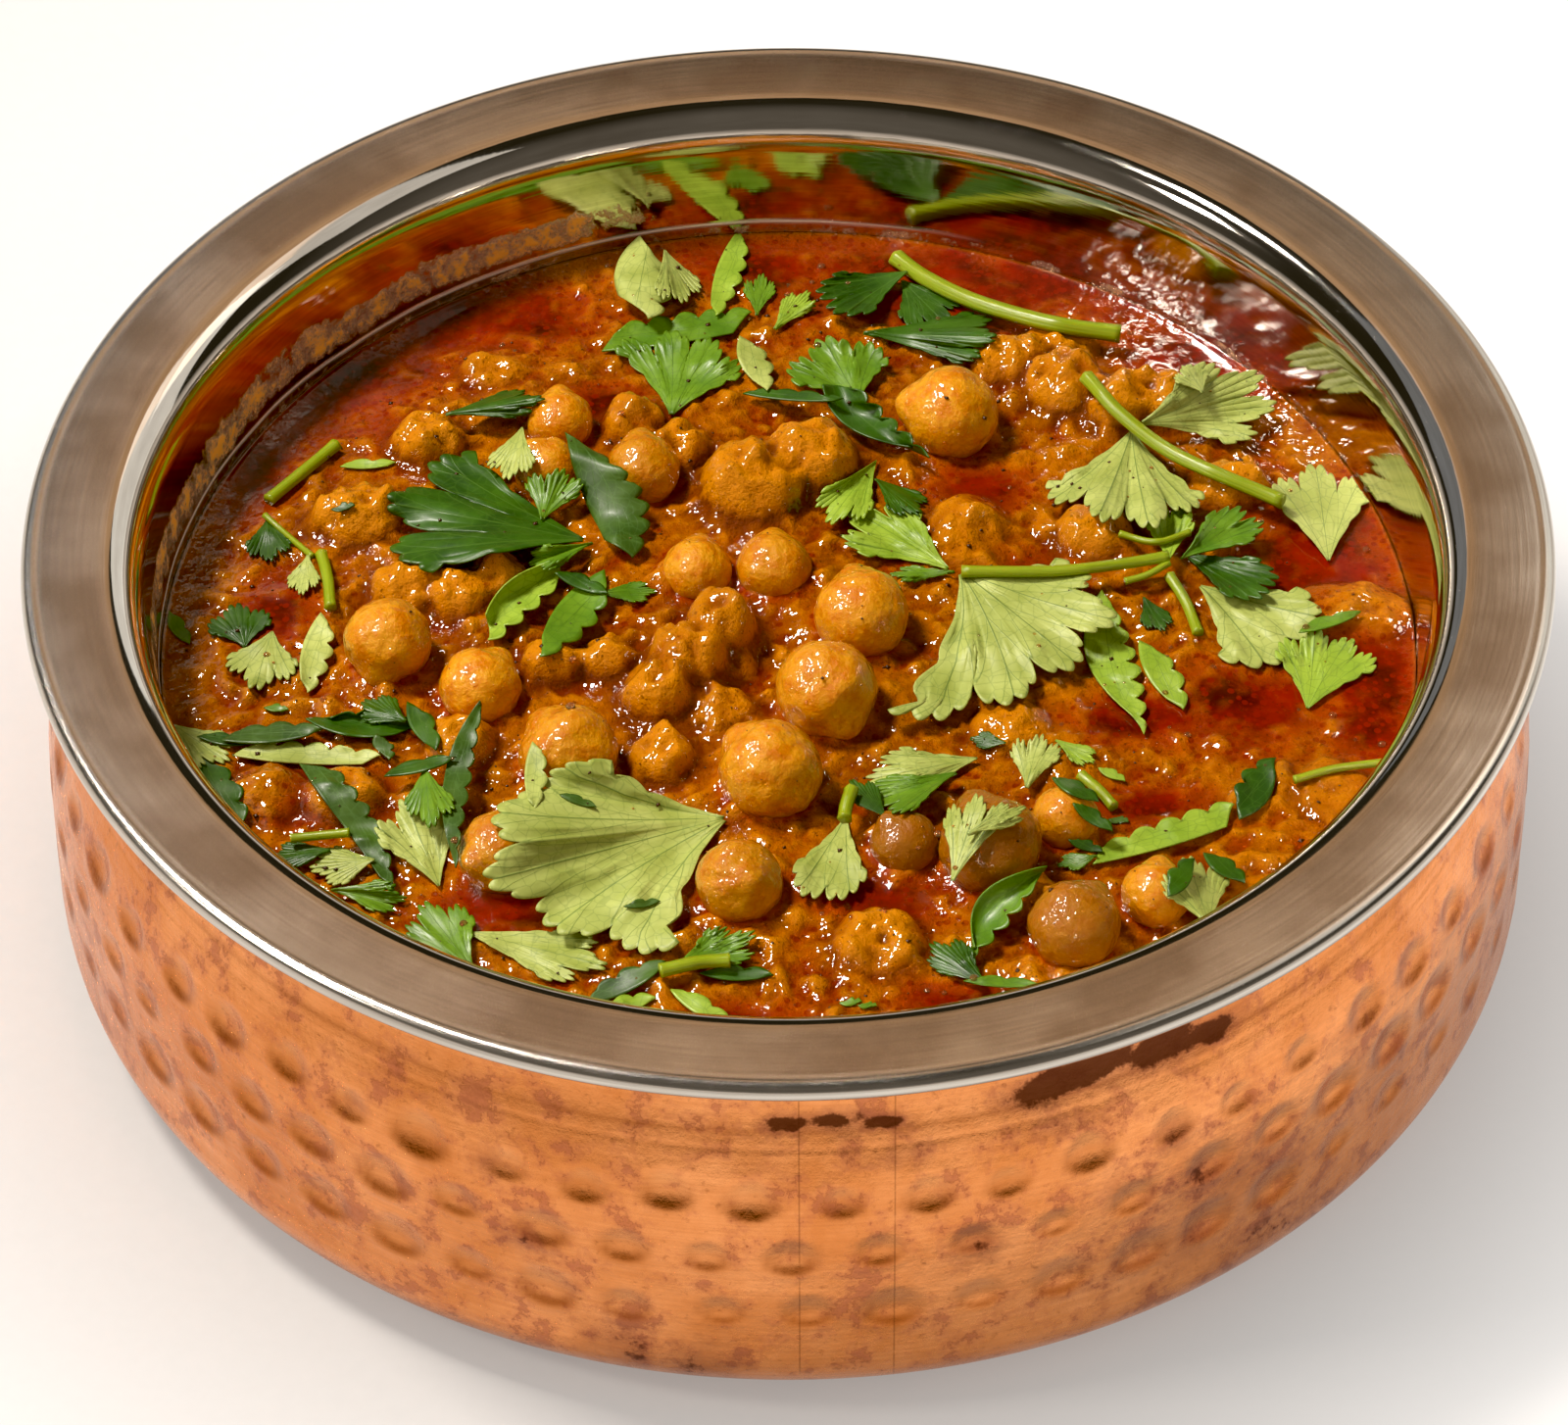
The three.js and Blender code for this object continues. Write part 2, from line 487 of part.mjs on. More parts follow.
// ---- coriander ----------------------------------------------------------------------------------
// Plan of a fan: rays from the stalk end, longest in the middle, cut in between the lobes.
function fanPlan({ fan, at, to, lobes, notch, sides = [0.7, 0.7], curl = 0 }) {
  const length = Math.hypot(to[0] - at[0], to[1] - at[1]);
  const heading = Math.atan2(to[1] - at[1], to[0] - at[0]);
  const rays = 2 * lobes;
  const places = [[at[0], at[1], 0]];
  for (let n = 0; n <= rays; n++) {
    const across = (2 * n) / rays - 1;
    const side = sides[across < 0 ? 0 : 1];
    const cut = n % 2 === 0 && n > 0 && n < rays ? 1 - notch : 1;
    const reach = length * (1 - (1 - side) * Math.abs(across) ** 1.5) * cut;
    const turn = heading + across * degrees(fan);
    for (const share of [0.5, 1])
      places.push([
        at[0] + share * reach * Math.cos(turn),
        at[1] + share * reach * Math.sin(turn),
        curl * share * share,
      ]);
  }
  const faces = [];
  for (let n = 0; n < rays; n++) {
    const [inner, outer] = [1 + 2 * n, 2 + 2 * n];
    faces.push([0, inner, inner + 2], [inner, outer, outer + 2], [inner, outer + 2, inner + 2]);
  }
  const rim = [0, 1, 2];
  for (let n = 1; n <= rays; n++) rim.push(2 + 2 * n);
  rim.push(1 + 2 * rays);
  return { places, faces, rim };
}

// Plan of a blade: three rows of places along a bowed middle line.
function bladePlan({ blade, at, to, ends, bow = 0, curl = 0 }) {
  const steps = 4;
  const length = Math.hypot(to[0] - at[0], to[1] - at[1]);
  const along = [(to[0] - at[0]) / length, (to[1] - at[1]) / length];
  const places = [];
  for (let n = 0; n <= steps; n++) {
    const s = n / steps;
    const bulge = 4 * s * (1 - s);
    const share = ends[0] * (1 - s) + ends[1] * s + bulge * (1 - (ends[0] + ends[1]) / 2);
    for (const across of [-1, 0, 1]) {
      const aside = bow * bulge + (across * blade * share) / 2;
      const rise = curl > 0 ? curl * Math.abs(across) : -curl * (1 - Math.abs(across));
      places.push([
        at[0] + along[0] * length * s - along[1] * aside,
        at[1] + along[1] * length * s + along[0] * aside,
        rise,
      ]);
    }
  }
  const faces = [];
  for (let n = 0; n < steps; n++)
    for (const k of [3 * n, 3 * n + 1]) faces.push([k, k + 3, k + 4], [k, k + 4, k + 1]);
  const rim = [];
  for (let n = 0; n <= steps; n++) rim.push(3 * n);
  rim.push(3 * steps + 1);
  for (let n = steps; n >= 0; n--) rim.push(3 * n + 2);
  rim.push(1);
  return { places, faces, rim };
}

// Samples over a face, as shares of its three corners.
const SETTLE_ROUNDS = 24;
const SETTLE_SHARE = 0.5; // raised gently, as a raised corner also moves forward
const SAMPLES = [];
for (let i = 0; i <= 5; i++) for (let j = 0; j <= 5 - i; j++) SAMPLES.push([i / 5, j / 5, (5 - i - j) / 5]);

// A leaf doesn't fold: a corner that hangs too far under its neighbour is lifted.
function stiffen(places, faces, heights) {
  for (const face of faces)
    face.forEach((corner, k) => {
      const next = face[(k + 1) % 3];
      const apart = Math.hypot(places[corner][0] - places[next][0], places[corner][1] - places[next][1]);
      heights[corner] = Math.max(heights[corner], heights[next] - LEAF_STEEPEST * apart);
      heights[next] = Math.max(heights[next], heights[corner] - LEAF_STEEPEST * apart);
    });
}

// A thin wavy solid that lies on what is under it: each face is raised until it clears the cover.
function leafGeometry(leaf) {
  const { places, faces, rim } = leaf.fan ? fanPlan(leaf) : bladePlan(leaf);
  const lift = leaf.lift ?? 0;
  const heights = places.map(([x, y, rise]) => sightHeight(x, y) + GAP + lift + rise);
  const placed = (corner) => placeOnSight(places[corner][0], places[corner][1], heights[corner]);
  for (let round = 0; round < SETTLE_ROUNDS; round++) {
    for (const face of faces)
      for (const shares of SAMPLES) {
        const corners = face.map(placed);
        const mix = (n) => corners.reduce((sum, corner, k) => sum + shares[k] * corner[n], 0);
        const lack = coverHeight(mix(0), mix(1)) + GAP - mix(2);
        if (lack <= 0) continue;
        const weight = shares.reduce((sum, share) => sum + share * share, 0);
        face.forEach((corner, k) => (heights[corner] += (SETTLE_SHARE * lack * shares[k]) / weight));
      }
    stiffen(places, faces, heights);
  }
  const lower = places.map((_, corner) => placed(corner));
  const upper = lower.map(([x, y, z]) => [x, y, z + LEAF_THICK]);
  remember(
    faces.map((face) => face.map((corner) => upper[corner])),
    LEAF_MARGIN,
  );
  const count = places.length;
  const index = [];
  for (const [a, b, c] of faces) index.push(a + count, b + count, c + count, c, b, a);
  for (let n = 0; n < rim.length; n++) {
    const [a, b] = [rim[n], rim[(n + 1) % rim.length]];
    index.push(a, b, b + count, a, b + count, a + count);
  }
  const geometry = new THREE.BufferGeometry();
  geometry.setAttribute("position", new THREE.Float32BufferAttribute([...lower, ...upper].flat(), 3));
  geometry.setIndex(index);
  return tidy(geometry);
}

// A stiff stalk: its middle line slopes evenly, as low as what is under it lets it lie.
function stalkGeometry({ thick, along }) {
  const first = sightHeight(...along[0]);
  const last = sightHeight(...along[along.length - 1]);
  const lineAt = (raise) =>
    along.map(([x, y], n) => {
      const height = first + ((last - first) * n) / (along.length - 1) + raise;
      return new THREE.Vector3(...placeOnSight(x, y, height));
    });
  const isClear = (line) =>
    new THREE.CatmullRomCurve3(line).getSpacedPoints(60).every((point) =>
      [-0.6, 0, 0.6].every((aside) => {
        const under = coverHeight(point.x + aside * thick, point.y + aside * thick);
        return under + GAP + thick / 2 < point.z;
      }),
    );
  let raise = 0;
  while (!isClear(lineAt(raise))) raise += SIGHT_STEP;
  const line = lineAt(raise);
  const section = new THREE.Shape();
  for (let n = 0; n < STALK_SIDES; n++) {
    const turn = (2 * Math.PI * n) / STALK_SIDES;
    section[n ? "lineTo" : "moveTo"]((thick / 2) * Math.cos(turn), (thick / 2) * Math.sin(turn));
  }
  section.closePath();
  const extrudePath = new THREE.CatmullRomCurve3(line);
  return tidy(new THREE.ExtrudeGeometry(section, { steps: STALK_STEPS, bevelEnabled: false, extrudePath }));
}

// ---- the whole ----------------------------------------------------------------------------------
const dish = new THREE.Group();

function add(name, geometry, material, to = dish) {
  const mesh = new THREE.Mesh(geometry, material);
  mesh.name = name;
  to.add(mesh);
}

add("copper_shell", shellGeometry(), COPPER);
add("steel_liner", linerGeometry(), STEEL);

const food = new THREE.Group();
dish.add(food);
add("gravy", gravyGeometry(), GRAVY, food);
CHICKPEAS.forEach((pea, n) => add(`chickpea_${two(n + 1)}`, chickpeaGeometry(pea, 0), CHICKPEA, food));
LEAVES.forEach((leaf, n) => add(`leaf_${two(n + 1)}`, leafGeometry(leaf), LEAF, food));
STALKS.forEach((stalk, n) => add(`stalk_${two(n + 1)}`, stalkGeometry(stalk), STALK, food));

export default dish;
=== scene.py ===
import math

import bpy
import numpy as np
from mathutils import Matrix, Vector


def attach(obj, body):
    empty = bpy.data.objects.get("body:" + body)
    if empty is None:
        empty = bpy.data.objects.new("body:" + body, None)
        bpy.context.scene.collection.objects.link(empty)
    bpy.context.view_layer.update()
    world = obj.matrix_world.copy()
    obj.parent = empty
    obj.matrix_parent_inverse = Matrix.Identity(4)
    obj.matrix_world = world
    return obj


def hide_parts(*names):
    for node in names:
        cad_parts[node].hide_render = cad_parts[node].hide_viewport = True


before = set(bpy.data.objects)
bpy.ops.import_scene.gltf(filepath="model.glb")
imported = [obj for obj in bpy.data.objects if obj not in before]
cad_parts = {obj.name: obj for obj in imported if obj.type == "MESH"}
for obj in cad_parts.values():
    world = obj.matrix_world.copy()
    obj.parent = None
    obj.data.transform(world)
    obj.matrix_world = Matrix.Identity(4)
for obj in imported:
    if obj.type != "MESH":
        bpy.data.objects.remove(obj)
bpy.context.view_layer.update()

MM = 0.001

# ---- sizes of the bowl --------------------------------------------------------------------------
RIM_TOP = 53.0
BEAD_RING = 83.8  # radius of the middle line of the rolled edge
BEAD = 1.2
SHEET = 1.0
FLANGE_INNER = 76.8
FLANGE_TOP = 52.96
FLANGE_FALL = 0.16  # the flange is level at the rolled edge and falls towards the throat
THROAT = 73.5
THROAT_Z = 47.6
WALL_SLOPE = 0.248
FLOOR_TOP = 5.5
GRAVY_LEVEL = 35.4
FLOOR_CORNER = 11.0
LINER_AROUND = 540
DRIED_MIDDLE = 148  # angle of the middle of the dried gravy on the wall, in degrees
DRIED_ABOVE = 4.7  # and its middle's height over the gravy's edge

COPPER_WALL = 1.1
COPPER_TOP = 51.1
NECK = 79.3
NECK_Z = 42.3
CREASE = 80.5
CREASE_Z = 41.2
BELLY = 83.8
BELLY_Z = 21.0
SHOULDER_DROP = 3.3
CORNER_Z = 9.3
CORNER = 8.4
BASE_RADIUS = 66.0
COPPER_AROUND = 580

# Rows of hammer marks: height, angle of one mark in degrees, and depth.
DENTS_ROUND = 57
DENT_ROWS = [(33.4, -92.7, 0.63), (25.5, -89.7, 0.62), (16.6, -89.2, 0.52)]
DENT_RADIUS = 3.1
DENT_STRAY = 0.6  # how far a mark strays from its row
EDGE_ROUND = 0.3  # radius of the copper's upper edge
GROOVE_Z = 39.6  # the lathe's groove under the crease
GROOVE_DEEP = 0.07
WAVY = 0.12  # depth of the waves in sheet worked by hand
SCRATCHES = [0.73, 10.8]  # two fine upright scratches, by how far they are from the middle plane
SCRATCH_HALF = 0.09

# ---- sizes of the food --------------------------------------------------------------------------
GRAVY_HEAP = 2.2  # height of the heap in the middle over the gravy's level
GRAVY_REACH = 70.0  # radius at which the heap has run out
GRAVY_EDGE = 70.45
GRAVY_CELLS = 300
LUMP_BLEND = 1.8  # width over which a lump runs into the gravy
MENISCUS = 0.55  # how far the gravy climbs the wall
BEAK_SPREAD = 0.3  # half angle of a chickpea's beak in radians
BEAK_LENGTH = 0.14  # its length as a share of the radius
FLATTENED = 0.96  # height of a chickpea over its width
PEA_RINGS = 60
PEA_AROUND = 96
LEAF_THICK = 0.17
FAN_TEETH = 4  # teeth on each lobe
LEAF_GAP = 0.12
LEAF_STEEPEST = 0.34  # the steepest slope that a stiff leaf can take
STALK_STEEPEST = 0.16
SIGHT_LEVEL = 37.5  # height on which the places below are read
SIGHT_SLOPE = 1.03  # how far a sight line comes forward for each mm that it rises
SIGHT_STEP = 0.1
COVER_CELL = 0.4  # cell of the grid of heights that a leaf can lie on
COVER_HALF = 74.0
SPECK_REACH = 68.0
PEPPER_COUNT = 420
BUBBLE_COUNT = 300
BUBBLE_ROWS = 5
BUBBLE_AROUND = 12

# ---- what lies where ----------------------------------------------------------------------------
# Chickpeas: middle, radius, direction of the beak, and how dark the soaked skin is.
CHICKPEAS = [
    ([-44.8, -4.2, 40.1], 4.9, [-0.2, -0.7, -0.5], 0.1),
    ([4.3, -13.3, 40.9], 5.65, [0.4, -0.8, -0.3], 0.15),
    ([-2.1, -25.3, 40.4], 5.7, [-0.6, 0.6, 0.3], 0.1),
    ([-24.3, -21.7, 39.6], 5.5, [-0.6, 0.6, 0.4], 0.2),
    ([8.2, -0.2, 40.1], 5.3, [-0.2, 0.9, 0.4], 0.1),
    ([-10.3, 9.1, 38.1], 4.0, [0.1, 0.9, 0.5], 0.1),
    ([-1.6, 9.1, 38.4], 4.3, [0, 0.9, 0.5], 0.25),
    ([18.8, 33.6, 39.8], 5.6, [-1, 0.1, 0.25], 0.0),
    ([-26.2, 33.8, 38.9], 3.8, [0, 0.8, 0.6], 0.1),
    ([-27.6, 25.4, 39.0], 3.8, [-0.5, 0.2, 0.8], 0.2),
    ([-16.6, 25.0, 39.2], 4.3, [-0.1, 0.8, 0.6], 0.35),
    ([-34.2, -10.6, 39.0], 4.6, [0.5, 0.7, 0.4], 0.0),
    ([-5.5, -41.4, 39.2], 4.7, [0.3, -0.6, 0.7], 0.35),
    ([-31.3, -36.8, 39.2], 4.8, [-0.6, -0.5, 0.3], 0.3),
    ([21.8, -36.4, 39.7], 5.7, [-0.35, 0.85, 0.5], 0.85),
    ([12.4, -34.6, 38.1], 3.8, [-0.5, 0.3, 0.8], 0.9),
    ([30.1, -30.9, 38.2], 3.7, [0.3, 0.7, 0.5], 0.2),
    ([30.6, -48.2, 39.2], 5.0, [0.55, 0.75, 0.45], 0.75),
    ([39.6, -42.9, 38.6], 3.8, [0.1, 0.8, 0.5], 0.15),
]

# Lumps of cooked onion, tomato and sunken chickpeas: middle x, y, z, half width in x, in y, half height.
LUMPS = [
    (-4, 22.8, 38.4, 6.2, 5.8, 4.6),
    (2.8, 26.9, 38.2, 5.4, 5.2, 4.6),
    (-14.4, -11, 37.9, 4.4, 4.4, 3.7),
    (-11.2, -6.4, 39, 4.4, 4.4, 4),
    (-7.6, -1.4, 39, 4, 4.6, 4),
    (-43, 7.3, 37.1, 4.3, 4, 3.3),
    (-37, 5.8, 37.1, 3.8, 3.8, 3.1),
    (-33, 8.4, 37.1, 3.6, 3.6, 3.3),
    (26, 45.6, 36.6, 4.8, 4.2, 3.3),
    (32.6, 40.4, 37.6, 5, 4.6, 3.8),
    (38.6, 37.4, 37.6, 4.4, 4.2, 3.6),
    (43.4, 38.2, 37, 4.2, 4, 3.2),
    (31.4, 48.4, 36.2, 4.4, 3.6, 2.6),
    (-49, 19.4, 37, 5, 4.8, 3.6),
    (-41.4, 32.4, 36.8, 4.4, 3.8, 3.2),
    (-34, 45.5, 35.6, 4.2, 3.4, 2.2),
    (51, 24, 36.4, 4.8, 3.8, 2.8),
    (63, 3.4, 35.4, 7.4, 5, 2.6),
    (35, 15.4, 37, 4.4, 4.4, 3.2),
    (20.4, 16.6, 36.8, 4.4, 5.4, 2.8),
    (9.5, -48.4, 36.2, 5, 4.8, 3.2),
    (27, -42.2, 37, 3, 3, 2.4),
    (-14, -20.6, 37.8, 3.6, 3.6, 2.9),
    (-12.4, 30.2, 37.3, 3.6, 3.6, 2.8),
    (-17.8, 34.2, 37.6, 3.5, 4, 3.4),
    (-20.2, -5, 37.8, 3.4, 3.2, 2.8),
    (-26.4, -5.6, 37.6, 3.6, 3.2, 2.8),
    (-36.4, -18, 36.8, 4, 4, 2.8),
    (24.4, -16, 36.4, 4.4, 4.2, 2.6),
    (27.4, -53.6, 35.4, 4.8, 3, 2.2),
    (60, -25, 35, 4.4, 5, 1.8),
    (-49, -25.4, 36.2, 4.8, 4.2, 2.6),
    (-57.4, -24.4, 35.8, 4.6, 4.2, 2.2),
    (-8, -13, 37, 4, 3.4, 2.2),
]

# Browned onion in the gravy: middle x, y, half width in x and in y.
BROWNED = [(-13, -8, 5, 5), (-8, -1.6, 4.4, 5), (-17, 33, 4, 4), (34, 41, 5, 4)]

# Pools of red oil on the gravy: middle x, y and half width in x and in y.
OIL_POOLS = [
    (60, 12, 9, 16),
    (64, -8, 8, 15),
    (52, -12, 12, 7),
    (40, -14, 10, 5),
    (22, 60, 26, 9),
    (48, 48, 9, 10),
    (-2, 64, 14, 6),
    (-34, 55, 15, 7),
    (-51, 43, 12, 10),
    (-62, 28, 5, 9),
    (22, 24, 7, 4),
    (28, 4, 6, 8),
    (-53, -24, 7, 6),
    (-32, -43, 7, 5),
    (18, -58, 8, 4),
    (-6, -60, 9, 4),
    (10, -42, 9, 5),
    (40, -28, 7, 4),
    (-58, 4, 5, 7),
    (-20, 38, 5, 4),
]

# Cut coriander in the part. A fan runs from the stalk end "at" to the tip of its middle lobe "to", spread
# is half its angle in degrees and sides are the lengths of its outer lobes over the middle one. A blade
# runs from end to end with a width, a sideways bow and the share of the width that is left at each end.
LEAVES = [
    dict(blade=4.5, at=(-65, -20), to=(-61, -29.3), ends=(0.5, 0.4), tone="dark"),
    dict(blade=3.2, at=(-60.5, -18.8), to=(-46, -20.4), ends=(0.7, 0.6), tone="pale"),
    dict(blade=4.6, at=(-52.2, -13.8), to=(-41.8, -15.6), ends=(0.2, 0.5), curl=0.8, tone="dark"),
    dict(blade=3.5, at=(-52, -21.5), to=(-43.8, -39.5), ends=(0.9, 0.2), bow=0.8, lift=0.5, tone="deep"),
    dict(fan=26, at=(-38, -40.5), to=(-42, -27.4), lobes=3, notch=0.2, tone="pale"),
    dict(fan=19, at=(-35.4, -47), to=(-20.4, -52.2), lobes=3, notch=0.15, tone="pale"),
    dict(blade=2.8, at=(-34, -12), to=(-36.2, -36.4), ends=(0.15, 0.2), bow=-1.4, lift=0.6, tone="deep"),
    dict(fan=50, at=(-6.6, -29.9), to=(-30.6, -38.4), lobes=5, notch=0.06, sides=(0.64, 0.78), tone="pale"),
    dict(fan=26, at=(-12.6, -52.6), to=(-4.4, -47.8), lobes=3, notch=0.2, curl=0.5, tone="mid"),
    dict(fan=24, at=(6.3, -29.6), to=(3.4, -42.6), lobes=2, notch=0.12, curl=0.5, tone="pale"),
    dict(fan=26, at=(21, -20.8), to=(9.4, -24), lobes=3, notch=0.15, curl=0.6, tone="pale"),
    dict(fan=17, at=(17.4, -39.9), to=(20.4, -27.2), lobes=3, notch=0.25, sides=(0.95, 0.7), tone="pale"),
    dict(blade=4.6, at=(27.2, -38.6), to=(19.2, -51), ends=(0.1, 0.1), bow=-1.6, curl=0.8, tone="mid"),
    dict(blade=3.7, at=(33.5, -36), to=(48.2, -29.8), ends=(0.6, 0.9), tone="bright"),
    dict(fan=36, at=(46.2, 6.8), to=(57, -2.8), lobes=2, notch=0.1, sides=(0.85, 0.85), tone="pale"),
    dict(fan=33, at=(57.6, -13.6), to=(61, -1.4), lobes=4, notch=0.18, sides=(0.8, 0.75), tone="bright"),
    dict(fan=27, at=(61.4, 10.4), to=(60.8, 26.2), lobes=3, notch=0.2, sides=(0.8, 0.75), tone="pale"),
    dict(blade=5.2, at=(36, 4.6), to=(38.8, -15.8), ends=(0.2, 0.15), bow=-1.4, tone="bright"),
    # This piece lies in shade, so its dark tone is partly its upper side and partly painted shade.
    dict(fan=25, at=(44.6, 12.2), to=(54.4, 6.2), lobes=2, notch=0.12, curl=1, tone="dark"),
    dict(fan=24, at=(43, 10.6), to=(43.6, 20.2), lobes=2, notch=0.18, lift=0.8, curl=1.6, tone="bright"),
    dict(fan=22, at=(44.2, 11), to=(53, 18.8), lobes=2, notch=0.2, lift=0.8, curl=1.2, tone="mid"),
    dict(fan=55, at=(19.3, 9.4), to=(31.6, -5.4), lobes=5, notch=0.2, sides=(1.3, 0.6), lift=1, tone="pale"),
    dict(fan=27, at=(18.4, 9.6), to=(7.6, 19.4), lobes=3, notch=0.2, curl=1, tone="bright"),
    dict(fan=37, at=(40.6, 34), to=(55.2, 39.6), lobes=4, notch=0.2, lift=0.6, curl=0.5, tone="pale"),
    dict(fan=38, at=(39.8, 33.2), to=(38, 17.8), lobes=4, notch=0.2, sides=(0.9, 0.9), lift=0.4, tone="pale"),
    # These two pieces lie in shade, so their dark tone is partly their upper side and partly painted shade.
    dict(fan=34, at=(13.6, 60), to=(18.6, 52), lobes=3, notch=0.2, tone="dark"),
    dict(fan=28, at=(14.6, 61.4), to=(4.2, 55.4), lobes=2, notch=0.12, curl=1.8, lift=0.6, tone="dark"),
    dict(fan=20, at=(8.6, 50.4), to=(23.6, 49), lobes=3, notch=0.14, sides=(0.85, 0.9), tone="dark"),
    dict(fan=44, at=(8.4, 38), to=(4.4, 48.8), lobes=3, notch=0.16, lift=0.4, curl=0.8, tone="mid"),
    dict(blade=4.6, at=(6, 40.8), to=(15.3, 29.3), ends=(0.6, 0.15), bow=-1.4, lift=0.8, curl=1, tone="dark"),
    dict(blade=4.8, at=(-20.6, 49.6), to=(-5.2, 52.6), ends=(0.85, 0.8), tone="mid"),
    dict(fan=37, at=(-13.4, 35.8), to=(-11, 49.6), lobes=4, notch=0.18, sides=(0.75, 0.95), tone="mid"),
    dict(blade=6.4, at=(-16.4, 66), to=(-17.6, 55), ends=(0.35, 0.7), curl=-1.2, lift=1.6, tone="pale"),
    dict(fan=30, at=(-22.6, 14.6), to=(-44.4, 21), lobes=3, notch=0.26, sides=(0.9, 0.8), tone="dark"),
    dict(blade=6.2, at=(-24, 31.4), to=(-19, 13.4), ends=(0.3, 0.4), bow=1.4, curl=-1, lift=0.4, tone="deep"),
    dict(blade=5, at=(-25.8, 9.8), to=(-33.6, 0.4), ends=(0.5, 0.7), bow=-0.8, curl=1.2, tone="bright"),
]

# Small cut pieces, read in the same way: kind and size, one end, the other end, tone.
SMALL_FANS = [
    (30, (-68.5, -14.8), (-62.5, -20.5), "pale"),
    (35, (-42.3, -14.5), (-47, -11.5), "dark"),
    (26, (-40, -21.5), (-39, -30), "mid"),
    (35, (-45, -36), (-51.8, -37.5), "pale"),
    (26, (-50, -34.5), (-56, -35.5), "dark"),
    (24, (-50, -40.5), (-42, -42), "mid"),
    (28, (-34, -53), (-39.5, -43.5), "mid"),
    (22, (18.5, -23), (9, -27.7), "mid"),
    (22, (10.5, -30), (7, -24.5), "dark"),
    (30, (24, -18.5), (20.3, -17.8), "dark"),
    (26, (26, -25.7), (27.6, -17.4), "pale"),
    (22, (29.3, -18), (33.5, -21.5), "bright"),
    (18, (19, -32.5), (25, -28.5), "pale"),
    (25, (33.5, -36), (29.5, -37.5), "mid"),
    (30, (45, -47), (43, -37), "pale"),
    (26, (21, -55.5), (15.5, -49.5), "dark"),
    (25, (40, 5), (42, -0.5), "dark"),
    (15, (19, 9.3), (12, 8.8), "mid"),
    (22, (10.3, 28.3), (5, 18), "bright"),
    (24, (10, 25), (15, 19), "dark"),
    (35, (48, 39), (46, 43.5), "pale"),
    (22, (-14.5, 65.5), (-12, 56), "pale"),
    (22, (-3.5, 53.5), (-3, 60.5), "mid"),
    (20, (-1.5, 51), (2.5, 57.5), "bright"),
    (30, (-28, 18), (-26, 26.5), "mid"),
    (25, (-30.3, 34), (-32, 25.5), "pale"),
    (20, (-22, 14.5), (-29, 11), "mid"),
    (22, (-21.5, 6), (-15.3, 6.3), "mid"),
    (17, (-39.7, 36.3), (-28.8, 38.7), "dark"),
    (30, (-59.5, 19), (-59, 12), "dark"),
    (24, (-54.5, 12.8), (-55, 6.5), "pale"),
    (45, (-61, -2.5), (-62.5, 4.2), "dark"),
    (38, (-58, 0.3), (-59.5, -8.5), "pale"),
]
SMALL_BLADES = [
    (1.8, (-65, -16.5), (-60, -18), "dark"),
    (3, (-62, -16.6), (-52.3, -16), "deep"),
    (2.8, (-41.5, -12), (-39.5, -18.5), "dark"),
    (2.2, (-45, -17), (-44.6, -20), "deep"),
    (2, (-44, -22.5), (-37, -20.5), "dark"),
    (2.4, (-27.5, -18.5), (-28, -27.5), "pale"),
    (3, (-21.5, -57), (-13.8, -52.3), "deep"),
    (2.6, (-20, -58.5), (-15, -57.6), "bright"),
    # The next blade is painted shade: the shaded part of leaf_09, drawn as a separate dark piece.
    (2.4, (-9, -53), (-2.5, -54), "dark"),
    (2.4, (-12, -56), (-7, -61), "bright"),
    (1.3, (5.6, -57.8), (7.2, -58), "mid"),
    (1.2, (7.6, -58.2), (8.8, -58.6), "mid"),
    (1.4, (34.5, -22.5), (36.5, -24.5), "bright"),
    (2.2, (29.5, -24), (33, -27.5), "dark"),
    (2, (31.5, -28), (34.5, -32), "dark"),
    (1.4, (35.4, -30.4), (36.6, -31), "deep"),
    (1.8, (31, -33.5), (33.5, -35.5), "dark"),
    (4.4, (49, -29), (53.5, -22.5), "dark"),
    (3, (40.5, -41), (43.5, -37.4), "dark"),
    (2.5, (45.8, -36), (48.5, -40), "dark"),
    (1.6, (19, -54.5), (26, -55.5), "mid"),
    (3.6, (40.4, -3), (43, -12.5), "bright"),
    (1.8, (57.5, -0.5), (64, 2), "mid"),
    (1.8, (-4.5, 40), (6, 38.3), "dark"),
    (3.2, (-5.2, 68), (-8.5, 54.5), "bright"),
    (3.5, (-4.5, 49), (-3, 41), "pale"),
    (5, (-20.5, 8), (-27.5, -2.7), "mid"),
    (2.2, (-25.5, 9.5), (-21, 6), "dark"),
    (1.6, (-51, 28), (-45.5, 28), "bright"),
    (1.6, (-51.4, 20.5), (-49.6, 20.5), "deep"),
    (3.4, (-52, 2), (-54, -8.8), "pale"),
    (1.8, (-70, 3.5), (-67.8, -1.5), "mid"),
    (1.3, (-58, -12), (-56, -12.6), "mid"),
    (1.2, (-24.6, -26), (-21.4, -28), "deep"),
    (1.3, (-17.6, -43), (-14.4, -42.8), "deep"),
]

